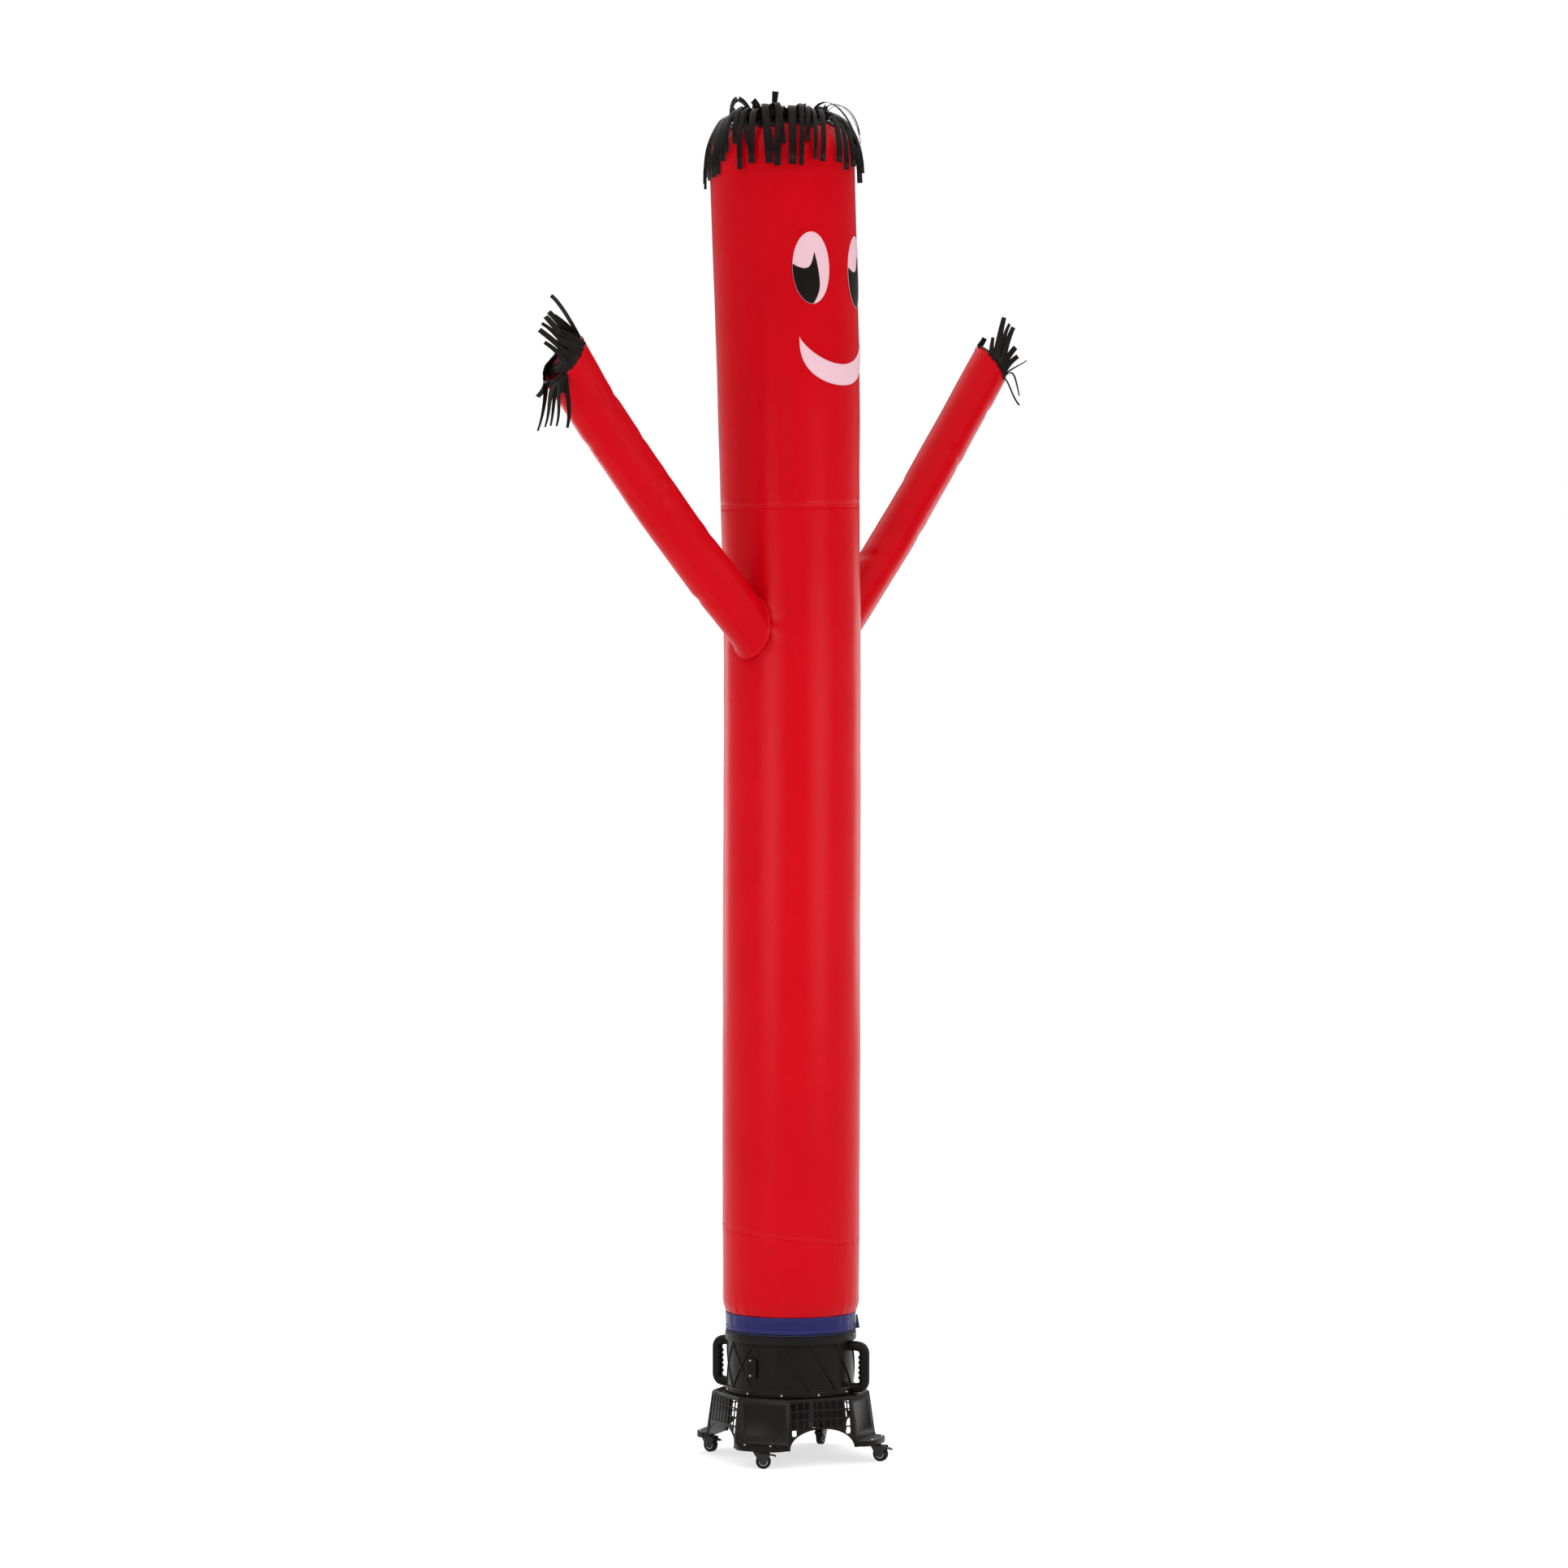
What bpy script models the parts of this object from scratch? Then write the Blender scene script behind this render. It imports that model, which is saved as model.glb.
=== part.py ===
import math
import random

import bpy
import numpy as np
from mathutils import Matrix, Vector

# Inflatable tube dancer standing on its fan blower. Metres, +Z up, the blower's
# axis is the Z axis and the castors stand on Z = 0.

# ---- cloth ----
SHEET = 0.0015            # cloth thickness
GAP = 0.0005              # air between neighbouring pieces
PATCH_GAP = 0.0012        # air under a sewn-on patch
SIDES = 32                # facets round the big tube
SEAM_LOW = 0.762          # lower seam height on the axis
SEAM_TILT = 0.106         # rise of the lower seam per metre, towards the lean side
SEAM_HIGH = 3.200         # seam between the long panel and the head
TUBE_FOOT = 0.4945        # hem of the lowest panel
SHOULDER_Z = 4.365        # where the head starts to round over
SHOULDER = (0.085, 0.110) # how far the shoulder turns in and up
LEAN_AZ = -114.0          # direction the head leans to
FACE_AZ = 27.4            # direction the face looks to

# ---- arms: azimuth, end radius, root and end heights, half width along and across,
# and the sleeve's end: direction and shift of its slanted cut, and how far it flares ----
ARMS = {
    "left": dict(az=-62.6, reach=1.130, root=2.795, end=3.612, wide=0.083, thin=0.074, roll=50.0,
                 slant=(-0.860, -0.041, 0.509), shift=0.063, last=0.030, flare=0.018),
    "right": dict(az=117.4, reach=1.111, root=2.761, end=3.696, wide=0.086, thin=0.0715, roll=132.0,
                  slant=(0.849, -0.061, 0.520), shift=-0.015, last=0.100, flare=0.0),
}
ARM_SIDES = 18
ARM_BOW = 0.016           # sag in the middle of an arm

# ---- fringes ----
HAIR_STRIPS = 24
HAIR_WIDTH = 0.018
HAND_STRIPS = 11
HAND_BAND = 0.022

# ---- blower ----
COLLAR_R = 0.2130         # outlet collar inside the cuff
DUCT_R = 0.2000           # clear bore of the drum
DRUM_R = 0.2120
FLANGE_R = 0.2205
DRUM_LOW, DRUM_HIGH = 0.2255, 0.3995
RIB_RISE = 0.0035
RIBS = 13
CUFF_LOW, CUFF_HIGH = 0.4365, 0.4935
HANDLE_AZ = (45.0, -135.0)
HANDLE_REACH = 0.2655     # middle of the grip
HANDLE_HALF = (0.0145, 0.0170)
SWITCH_AZ = -61.0

# ---- base: (half side, corner cut distance, height) from the bottom up ----
BASE_RINGS = ((0.2620, 0.2770, 0.0580), (0.2560, 0.2680, 0.0860),
              (0.2410, 0.2480, 0.2185), (0.2370, 0.2440, 0.2240))
BASE_WALL = 0.0045
ARCH = (0.118, 0.066)     # half width and height of the arch between two legs
GRILLE_COLS, GRILLE_ROWS = 9, 3
GRILLE_PITCH = (0.0222, 0.0225)
GRILLE_HOLE = (0.0165, 0.0165)
FOOT_LOW, FOOT_HIGH = 0.0580, 0.0765

# ---- castors: azimuth of the corner, azimuth the wheel trails to ----
CASTORS = {1: (-45.0, 66.0), 2: (45.0, 40.0), 3: (135.0, -44.0), 4: (-135.0, 26.0)}
CASTOR_R = 0.305
WHEEL_R = 0.025
WHEEL_W = 0.019
TRAIL = 0.018

for old in list(bpy.data.objects):
    bpy.data.objects.remove(old, do_unlink=True)
random.seed(7)

parts = bpy.data.collections.new("air_dancer")
bpy.context.scene.collection.children.link(parts)
tools = bpy.data.collections.new("cutters")
bpy.context.scene.collection.children.link(tools)

MATERIALS = {
    "red_nylon": ((0.60, 0.004, 0.012), 0.42, 0.0),
    "white_nylon": ((0.86, 0.62, 0.66), 0.45, 0.0),
    "black_nylon": ((0.016, 0.012, 0.013), 0.50, 0.0),
    "blue_nylon": ((0.024, 0.030, 0.125), 0.50, 0.0),
    "navy_webbing": ((0.008, 0.010, 0.028), 0.60, 0.0),
    "black_plastic": ((0.022, 0.020, 0.020), 0.38, 0.0),
    "motor_paint": ((0.015, 0.014, 0.014), 0.50, 0.3),
    "fork_metal": ((0.020, 0.020, 0.021), 0.35, 0.6),
    "tyre_rubber": ((0.013, 0.013, 0.013), 0.70, 0.0),
    "hub_plastic": ((0.42, 0.41, 0.40), 0.40, 0.0),
}


def material(name):
    found = bpy.data.materials.get(name)
    if found:
        return found
    colour, rough, metal = MATERIALS[name]
    mat = bpy.data.materials.new(name)
    mat.use_nodes = True
    shade = mat.node_tree.nodes["Principled BSDF"]
    shade.inputs["Base Color"].default_value = (*colour, 1.0)
    shade.inputs["Roughness"].default_value = rough
    shade.inputs["Metallic"].default_value = metal
    return mat


def add(name, verts, faces, mat=None):
    mesh = bpy.data.meshes.new(name)
    mesh.from_pydata([tuple(v) for v in verts], [], faces)
    mesh.validate()
    mesh.update()
    ob = bpy.data.objects.new(name, mesh)
    if mat:
        mesh.materials.append(material(mat))
        parts.objects.link(ob)
    else:
        tools.objects.link(ob)
        ob.hide_render = True
        ob.display_type = "WIRE"
    return ob


def combine(ob, tool, how):
    mod = ob.modifiers.new(how.lower(), "BOOLEAN")
    mod.object = tool
    mod.operation = how
    mod.solver = "EXACT"


def bearing(az):
    a = math.radians(az)
    return Vector((math.sin(a), -math.cos(a), 0.0))


def at(az, radius, z):
    return bearing(az) * radius + Vector((0.0, 0.0, z))


# ---------------------------------------------------------------- solid makers

def loft(rings, closed=False):
    # Rings of points joined side to side; open ends get caps.
    rings = [list(r) for r in rings]
    n = len(rings[0])
    verts = [p for r in rings for p in r]
    faces = []
    count = len(rings)
    for i in range(count if closed else count - 1):
        j = (i + 1) % count
        for k in range(n):
            m = (k + 1) % n
            faces.append((i * n + k, i * n + m, j * n + m, j * n + k))
    if not closed:
        faces.append(tuple(range(n - 1, -1, -1)))
        faces.append(tuple((count - 1) * n + k for k in range(n)))
    return verts, faces


def wall(outer, inner):
    # A tube wall: the outer rings upwards, then the inner rings downwards.
    return loft(list(outer) + list(inner)[::-1], closed=True)


def lathe(profile, steps, centre=(0.0, 0.0, 0.0), axis="Z", start=0.0):
    # A closed (radius, height) profile, anticlockwise, swept round an axis.
    c = Vector(centre)
    rings = []
    for r, h in profile:
        ring = []
        for k in range(steps):
            a = start + 2 * math.pi * k / steps
            u, v = r * math.cos(a), r * math.sin(a)
            ring.append(c + (Vector((u, v, h)) if axis == "Z" else Vector((u, h, v))))
        rings.append(ring)
    verts, faces = loft(rings, closed=True)
    if axis != "Z":
        faces = [f[::-1] for f in faces]
    return verts, faces


def turned(frame, verts):
    return [frame @ Vector(v) for v in verts]


def prism(outline, low, high):
    # An outline of (x, y), anticlockwise, between two heights.
    ring = lambda z: [Vector((x, y, z)) for x, y in outline]
    return loft([ring(low), ring(high)])


def brick(size, centre=(0.0, 0.0, 0.0)):
    x, y = size[0] / 2, size[1] / 2
    cx, cy, cz = centre
    outline = [(cx - x, cy - y), (cx + x, cy - y), (cx + x, cy + y), (cx - x, cy + y)]
    return prism(outline, cz - size[2] / 2, cz + size[2] / 2)


def rod(radius, length, steps=20):
    outline = [(radius * math.cos(2 * math.pi * k / steps), radius * math.sin(2 * math.pi * k / steps))
               for k in range(steps)]
    return prism(outline, -length / 2, length / 2)


def joined(pieces):
    verts, faces = [], []
    for v, f in pieces:
        base = len(verts)
        verts += list(v)
        faces += [tuple(i + base for i in face) for face in f]
    return verts, faces


def frame_at(az, radius, z, tilt=0.0):
    # Local x points outwards, y runs round the axis, z up; tilt leans z inwards.
    out = bearing(az)
    up = Vector((0.0, 0.0, 1.0))
    side = up.cross(out)
    t = math.radians(tilt)
    new_up = up * math.cos(t) - out * math.sin(t)
    new_out = out * math.cos(t) + up * math.sin(t)
    m = Matrix((new_out, side, new_up)).transposed().to_4x4()
    m.translation = at(az, radius, z)
    return m


# ---------------------------------------------------------------- big tube

LEAN_Z = (0.45, 1.36, 1.90, 2.45, 2.75, 3.10, 3.32, 3.54, 3.75, 3.97, 4.24, 4.60)
LEAN_M = (0.0, -0.002, -0.003, -0.006, -0.005, 0.000, 0.004, 0.007, 0.011, 0.018, 0.027, 0.036)
WIDE_Z = (0.54, 1.36, 1.90, 2.45, 3.10, 3.30, 3.54, 4.00, 4.24, 4.60)
WIDE_M = (0.2300, 0.2325, 0.2315, 0.2300, 0.2315, 0.2340, 0.2380, 0.2408, 0.2420, 0.2420)


def lean(z):
    return sum(float(np.interp(z + d, LEAN_Z, LEAN_M)) for d in (-0.08, -0.04, 0.0, 0.04, 0.08)) / 5


def tube_radius(z):
    if z < 0.54:
        rise = min(max((z - TUBE_FOOT) / 0.045, 0.0), 1.0)
        return 0.2192 + (0.2300 - 0.2192) * math.sin(rise * math.pi / 2)
    return sum(float(np.interp(z + d, WIDE_Z, WIDE_M)) for d in (-0.06, 0.0, 0.06)) / 3


def skin(az, z, radius, drop=0.0):
    # A point on a ring square to the leaning centre line.
    side = bearing(az)
    lean_to = bearing(LEAN_AZ)
    slope = (lean(z + 0.02) - lean(z - 0.02)) / 0.04
    p = side * radius + lean_to * lean(z)
    p.z = z - slope * radius * side.dot(lean_to) - drop
    return p


def tube_ring(z, out=0.0, tilt=0.0, sides=SIDES):
    ring = []
    for k in range(sides):
        az = 360.0 * k / sides
        zz = z + tilt * 0.231 * bearing(az).dot(bearing(LEAN_AZ))
        ring.append(skin(az, zz, tube_radius(zz) + out))
    return ring


def panel(name, heights, tilts):
    outer = [tube_ring(z, 0.0, t) for z, t in zip(heights, tilts)]
    inner = [tube_ring(z, -SHEET, t) for z, t in zip(heights, tilts)]
    return add(name, *wall(outer, inner), "red_nylon")


low_heights = [TUBE_FOOT, 0.503, 0.520, 0.545, SEAM_LOW - GAP / 2]
low_tilts = [0, 0, 0, 0, SEAM_TILT]
panel("tube_lower", low_heights, low_tilts)

mid_heights = [SEAM_LOW + GAP / 2] + [1.50, 2.30, 2.75, 3.05] + [SEAM_HIGH - GAP / 2]
mid_tilts = [SEAM_TILT] + [0] * (len(mid_heights) - 1)
tube_middle = panel("tube_middle", mid_heights, mid_tilts)


def shoulder(turn, out=0.0):
    # Round of the head: turn 0 at the wall, 90 at the vent.
    t = math.radians(turn)
    r = tube_radius(SHOULDER_Z) - SHOULDER[0] * (1 - math.cos(t))
    z = SHOULDER_Z + SHOULDER[1] * math.sin(t)
    nr, nz = math.cos(t) / SHOULDER[0], math.sin(t) / SHOULDER[1]
    size = math.hypot(nr, nz)
    return r + out * nr / size, z + out * nz / size


def shoulder_ring(turn, out):
    r, z = shoulder(turn, out)
    return [skin(360.0 * k / SIDES, z, r) for k in range(SIDES)]


head_heights = [SEAM_HIGH + GAP / 2] + [3.45, 3.75, 4.05] + [SHOULDER_Z]
turns = (20, 40, 62, 92)
head_outer = [tube_ring(z) for z in head_heights] + [shoulder_ring(t, 0.0) for t in turns]
head_inner = [tube_ring(z, -SHEET) for z in head_heights] + [shoulder_ring(t, -SHEET) for t in turns]
add("tube_head", *wall(head_outer, head_inner), "red_nylon")


# ---------------------------------------------------------------- face patches

def patch(name, points, centre, lift, mat):
    # A closed outline (degrees from the face, height), laid on the head in rings.
    cu, cv = centre
    levels = (1.0, 0.5)

    def layer(out):
        verts = []
        for s in levels:
            for u, v in points:
                a, z = cu + (u - cu) * s, cv + (v - cv) * s
                verts.append(skin(FACE_AZ + a, z, tube_radius(z) + out))
        verts.append(skin(FACE_AZ + cu, cv, tube_radius(cv) + out))
        return verts

    n = len(points)
    verts = layer(lift + SHEET) + layer(lift)
    half = n * len(levels) + 1
    faces = []
    for i in range(len(levels) - 1):
        for k in range(n):
            m = (k + 1) % n
            quad = (i * n + k, i * n + m, (i + 1) * n + m, (i + 1) * n + k)
            faces += [quad, tuple(half + q for q in quad[::-1])]
    top = (len(levels) - 1) * n
    for k in range(n):
        m = (k + 1) % n
        tri = (top + k, top + m, half - 1)
        faces += [tri, tuple(half + q for q in tri[::-1])]
        faces.append((m, k, half + k, half + m))
    return add(name, verts, faces, mat)


EYE_U, EYE_HALF_U, EYE_Z, EYE_HALF_Z = 28.2, 15.8, 3.990, 0.1215
for side, label in ((-1, "left"), (1, "right")):
    outline = []
    for k in range(22):
        a = 2 * math.pi * k / 22
        outline.append((side * EYE_U + EYE_HALF_U * math.cos(a), EYE_Z + EYE_HALF_Z * math.sin(a)))
    patch("eye_" + label, outline, (side * EYE_U, EYE_Z), PATCH_GAP, "white_nylon")


def pupil_outline(mid):
    # Lower left of the eye: its rim, then a round notch, a horn and a full cheek.
    pts = []
    for k in range(8):
        a = math.radians(176 + (272 - 176) * k / 7)
        pts.append((mid + 0.95 * EYE_HALF_U * math.cos(a), EYE_Z + 0.965 * EYE_HALF_Z * math.sin(a)))
    horn, top = (mid + 3.4, EYE_Z + 0.054), (mid + 7.4, EYE_Z - 0.036)
    low = (mid + 1.4, EYE_Z - 0.116)
    for t in (0.35, 0.70):                          # cheek, from the bottom up
        w = math.sin(t * math.pi) * 2.3
        pts.append((low[0] + (top[0] - low[0]) * t + w, low[1] + (top[1] - low[1]) * t))
    pts.append(top)
    for t in (0.5,):                                # up to the horn
        pts.append((top[0] + (horn[0] - top[0]) * t + 0.5 * math.sin(t * math.pi),
                    top[1] + (horn[1] - top[1]) * t))
    pts.append(horn)
    for k in range(1, 5):                           # the round notch
        a = math.radians(18 - 42 * k)
        pts.append((mid - 5.6 + 8.6 * math.cos(a), EYE_Z + 0.035 + 0.046 * math.sin(a)))
    return pts


for side, label in ((-1, "left"), (1, "right")):
    mid = side * EYE_U
    patch("pupil_" + label, pupil_outline(mid), (mid - 1.2, EYE_Z - 0.052),
          PATCH_GAP * 2 + SHEET, "black_nylon")


def crescent(name, half, tip_z, low_top, low_bottom, mat):
    # The mouth: columns from one tip to the other, three rows of points.
    cols = 16
    top, bottom = [], []
    for out in (PATCH_GAP + SHEET, PATCH_GAP):
        for k in range(cols + 1):
            u = -1 + 2 * k / cols
            a = half * math.sin(u * math.pi / 2)
            curve = 1 - (a / half) ** 2
            tip = min(abs(u) ** 14, 1.0) * 0.0
            zt = tip_z - low_top * curve - tip
            zb = tip_z - low_bottom * curve ** 0.86 - 0.006
            for row in (0.0, 0.5, 1.0):
                z = zt + (zb - zt) * row
                (top if out > PATCH_GAP else bottom).append(skin(FACE_AZ + a, z, tube_radius(z) + out))
    verts = top + bottom
    half_n = len(top)
    faces = []
    for k in range(cols):
        for r in range(2):
            i = k * 3 + r
            quad = (i, i + 1, i + 4, i + 3)
            faces += [quad, tuple(half_n + q for q in quad[::-1])]
    edge = [k * 3 for k in range(cols + 1)] + [cols * 3 + 1, cols * 3 + 2]
    edge += [k * 3 + 2 for k in range(cols - 1, -1, -1)] + [1]
    for i, a in enumerate(edge):
        b = edge[(i + 1) % len(edge)]
        faces.append((a, b, half_n + b, half_n + a))
    return add(name, verts, faces, mat)


crescent("mouth", 39.5, 3.757, 0.080, 0.165, "white_nylon")


# ---------------------------------------------------------------- arms

def arm_frame(spec):
    # Start inside the tube, the end point, and the two cross directions.
    out = bearing(spec["az"])
    root = at(spec["az"], 0.222, spec["root"]) + bearing(LEAN_AZ) * lean(spec["root"])
    end = at(spec["az"], spec["reach"], spec["end"]) + bearing(LEAN_AZ) * lean(spec["root"])
    run = (end - root).normalized()
    flat = Vector((0, 0, 1)).cross(out)
    lift = run.cross(flat)
    if lift.z < 0:
        lift = -lift
    r = math.radians(spec["roll"])
    wide = flat * math.cos(r) + lift * math.sin(r)
    thin = run.cross(wide)
    return root, end, run, wide, thin, lift


def arm_side(spec, a, inset, share):
    # From the middle of the sleeve to its cloth; share says how much of the flare shows.
    root, end, run, wide, thin, lift = arm_frame(spec)
    out = spec["flare"] * share * max(0.0, math.cos(a + 0.35)) ** 1.5 - inset
    return wide * (spec["wide"] + out) * math.cos(a) + thin * (spec["thin"] + out) * math.sin(a)


def arm_point(spec, s, a, inset, share=None):
    root, end, run, wide, thin, lift = arm_frame(spec)
    length = (end - root).length
    if share is None:
        share = min(max((s - length + 0.12) / 0.22, 0.0), 1.0)
    sag = ARM_BOW * math.sin(math.pi * min(max(s / length, 0.0), 1.0))
    return root + run * s - lift * sag + arm_side(spec, a, inset, share)


def arm_ring(spec, s, inset, sides=ARM_SIDES):
    return [arm_point(spec, s, 2 * math.pi * k / sides, inset) for k in range(sides)]


def arm_end(spec, a, inset):
    # How far along the arm the flat slanted cut lies at one turn round the sleeve.
    root, end, run, wide, thin, lift = arm_frame(spec)
    cut = Vector(spec["slant"])
    return (end - root).length + spec["shift"] - arm_side(spec, a, inset, 1.0).dot(cut) / run.dot(cut)


def arm_rim(spec, inset, sides=ARM_SIDES):
    turns = [2 * math.pi * k / sides for k in range(sides)]
    return [arm_point(spec, arm_end(spec, a, inset), a, inset, 1.0) for a in turns]


plug = add("tube_plug", *loft([tube_ring(z, GAP) for z in (2.30, 2.55, 2.80, 3.05, 3.19)]))
for label, spec in ARMS.items():
    root, end, run, wide, thin, lift = arm_frame(spec)
    length = (end - root).length
    places = [-0.14] + list(np.linspace(0.06, length - spec["last"], 4))
    outer = [arm_ring(spec, s, 0.0) for s in places] + [arm_rim(spec, 0.0)]
    inner = [arm_ring(spec, s, SHEET) for s in places] + [arm_rim(spec, SHEET)]
    arm = add("arm_" + label, *wall(outer, inner), "red_nylon")
    combine(arm, plug, "DIFFERENCE")
    bore = add("arm_bore_" + label, *loft([arm_ring(spec, s, SHEET) for s in (-0.10, 0.06, 0.18)]))
    combine(tube_middle, bore, "DIFFERENCE")


# ---------------------------------------------------------------- fringes

def fringe(name, low_ring, top_ring, strip_paths, thick):
    # A ring band whose every second column runs on as a hanging strip.
    # low_ring and top_ring: (outer, inner) points of the band; one path per strip.
    n = len(low_ring)
    verts = []
    for ring in (low_ring, top_ring):
        for outer, inner in ring:
            verts += [outer, inner]
    vo = lambda row, k: row * 2 * n + 2 * (k % n)
    vi = lambda row, k: vo(row, k) + 1
    faces = []
    for k in range(n):
        m = k + 1
        faces.append((vo(0, k), vo(0, m), vo(1, m), vo(1, k)))
        faces.append((vi(0, m), vi(0, k), vi(1, k), vi(1, m)))
        faces.append((vo(0, m), vo(0, k), vi(0, k), vi(0, m)))
        if k % 2:
            faces.append((vo(1, k), vo(1, m), vi(1, m), vi(1, k)))
            continue
        last = (vo(1, k), vo(1, m), vi(1, m), vi(1, k))
        for p, across, normal, width in strip_paths[k // 2]:
            base = len(verts)
            w, t = across * width / 2, normal * thick / 2
            verts += [p - w + t, p + w + t, p + w - t, p - w - t]
            new = (base, base + 1, base + 2, base + 3)
            for i in range(4):
                j = (i + 1) % 4
                faces.append((last[i], last[j], new[j], new[i]))
            last = new
        faces.append(last)
    return add(name, verts, faces, "black_nylon")


def strip_path(points, across, width, outward):
    # Samples of a Bezier through four control points with a frame at each.
    out = []
    steps = 4
    for i in range(1, steps + 1):
        t = i / steps
        a, b, c, d = (1 - t) ** 3, 3 * t * (1 - t) ** 2, 3 * t * t * (1 - t), t ** 3
        p = points[0] * a + points[1] * b + points[2] * c + points[3] * d
        e = ((points[1] - points[0]) * (1 - t) ** 2 + (points[2] - points[1]) * 2 * t * (1 - t)
             + (points[3] - points[2]) * t * t).normalized()
        side = (across - e * across.dot(e)).normalized()
        normal = side.cross(e)
        out.append((p, side, normal, width))
    return out


def hair():
    n = HAIR_STRIPS
    low_z, top_z = SHOULDER_Z + SHOULDER[1] + 0.0024, SHOULDER_Z + SHOULDER[1] + 0.0200
    rho = tube_radius(SHOULDER_Z) - SHOULDER[0] + 0.0010
    half = math.degrees(HAIR_WIDTH / 2 / rho)
    spots = []
    for k in range(n):
        mid = -6.0 - 24.0 + 360.0 * k / n
        spots += [mid - half, mid + half]
    low, top = [], []
    for az in spots:
        low.append((skin(az, low_z, rho), skin(az, low_z, rho - SHEET)))
        top.append((skin(az, top_z, rho), skin(az, top_z, rho - SHEET)))
    paths = []
    for k in range(n):
        mid = -6.0 - 24.0 + 360.0 * k / n
        drift = random.uniform(-2.6, 2.6)
        rise = random.uniform(0.018, 0.042)
        far = random.uniform(0.262, 0.274)
        tip = random.uniform(4.292, 4.352)
        if k == 0:
            ctrl = [(0.0, rho, top_z), (0.0, rho, top_z + 0.03), (0.6, rho, top_z + 0.06),
                    (1.0, rho - 0.002, top_z + 0.084)]
        elif k in (3, 20):
            ctrl = [(0.0, rho, top_z), (0.2, rho + 0.004, top_z + 0.03), (1.0, rho + 0.012, top_z + 0.05),
                    (2.0, rho + 0.034, top_z + 0.062)]
        else:
            ctrl = [(0.0, rho, top_z), (0.2 * drift, rho + 0.012, top_z + rise * 1.6),
                    (0.8 * drift, far + 0.004, top_z + rise * 1.3), (drift, far, tip)]
        pts = [skin(mid + a, z, r - SHEET / 2) for a, r, z in ctrl]
        across = Vector((0, 0, 1)).cross(bearing(mid + 0.6 * drift))
        paths.append(strip_path(pts, across, HAIR_WIDTH * random.uniform(0.86, 1.0), 1))
    fringe("hair_fringe", low, top, paths, SHEET)


hair()


def hand(label, spec):
    root, end, run, wide, thin, lift = arm_frame(spec)
    length = (end - root).length
    n = HAND_STRIPS

    def rim(beyond, a, inset):
        return arm_point(spec, arm_end(spec, a, inset) + beyond, a, inset, 1.0)

    low_s, top_s = GAP, GAP + HAND_BAND
    spots = []
    for k in range(n):
        mid = 2 * math.pi * k / n
        spots += [mid - 0.125, mid + 0.125]
    low = [(rim(low_s, a, 0.0), rim(low_s, a, SHEET)) for a in spots]
    top = [(rim(top_s, a, 0.0), rim(top_s, a, SHEET)) for a in spots]
    paths = []
    for k in range(n):
        a = 2 * math.pi * k / n
        here = rim(top_s, a, SHEET / 2)
        out = (wide * math.cos(a) / spec["wide"] + thin * math.sin(a) / spec["thin"]).normalized()
        along = run.cross(out)
        up = out.z
        size = random.uniform(0.85, 1.15)
        if up > 0.25:
            splay, drop = 0.105 * size, 0.010
        else:
            splay, drop = 0.060 * size, 0.075 * size
        past = arm_end(spec, a, 0.0) - length
        pts = [here, here + run * 0.030, here + run * (0.060 - 0.3 * past) + out * splay * 0.55,
               here + run * (0.045 - 0.02 * up - 0.6 * past) + out * splay - Vector((0, 0, 1)) * drop]
        width = 0.25 * 0.5 * (spec["wide"] + spec["thin"]) * random.uniform(0.85, 1.0)
        paths.append(strip_path(pts, along, width, 1))
    fringe("hand_fringe_" + label, low, top, paths, SHEET)


for label, spec in ARMS.items():
    hand(label, spec)


# ---------------------------------------------------------------- cuff and strap

cuff = [(0.2155, CUFF_LOW), (0.2172, CUFF_LOW), (0.2172, CUFF_LOW + 0.030), (0.2186, CUFF_HIGH),
        (0.2169, CUFF_HIGH), (0.2155, CUFF_LOW + 0.030)]
add("cuff", *lathe(cuff, 32), "blue_nylon")

band = [(0.2150, 0.4285), (0.2185, 0.4285), (0.2185, 0.4355), (0.2150, 0.4355)]
strap = add("strap", *lathe(band, 32), "navy_webbing")
tail_frame = frame_at(66.0, 0.0, 0.0)
tail_pts = [(0.2168, 0.4320), (0.2215, 0.4350), (0.2235, 0.4450), (0.2240, 0.4600), (0.2262, 0.4780)]
tail_rings = []
for i, (r, z) in enumerate(tail_pts):
    q = 0.0010
    tail_rings.append([Vector((r - q, -0.007, z)), Vector((r - q, 0.007, z)),
                       Vector((r + q, 0.007, z - q)), Vector((r + q, -0.007, z - q))])
verts, faces = loft(tail_rings)
tail = add("strap_tail", turned(tail_frame, verts), [f[::-1] for f in faces])
combine(strap, tail, "UNION")


# ---------------------------------------------------------------- drum and collar

ring_profile = [(0.2050, 0.4000), (FLANGE_R - 0.002, 0.4000), (FLANGE_R, 0.4020), (FLANGE_R, 0.4230),
                (FLANGE_R - 0.004, 0.4270), (COLLAR_R, 0.4270), (COLLAR_R, 0.4880), (0.2070, 0.4880)]
add("outlet_ring", *lathe(ring_profile, 40), "black_plastic")

drum_profile = [(DUCT_R, DRUM_LOW), (FLANGE_R - 0.002, DRUM_LOW), (FLANGE_R, DRUM_LOW + 0.002),
                (FLANGE_R, 0.2420), (FLANGE_R - 0.003, 0.2450), (DRUM_R, 0.2480), (DRUM_R, DRUM_HIGH),
                (DUCT_R, DRUM_HIGH)]
drum = add("drum", *lathe(drum_profile, 39), "black_plastic")
step = 360.0 / RIBS


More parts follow.
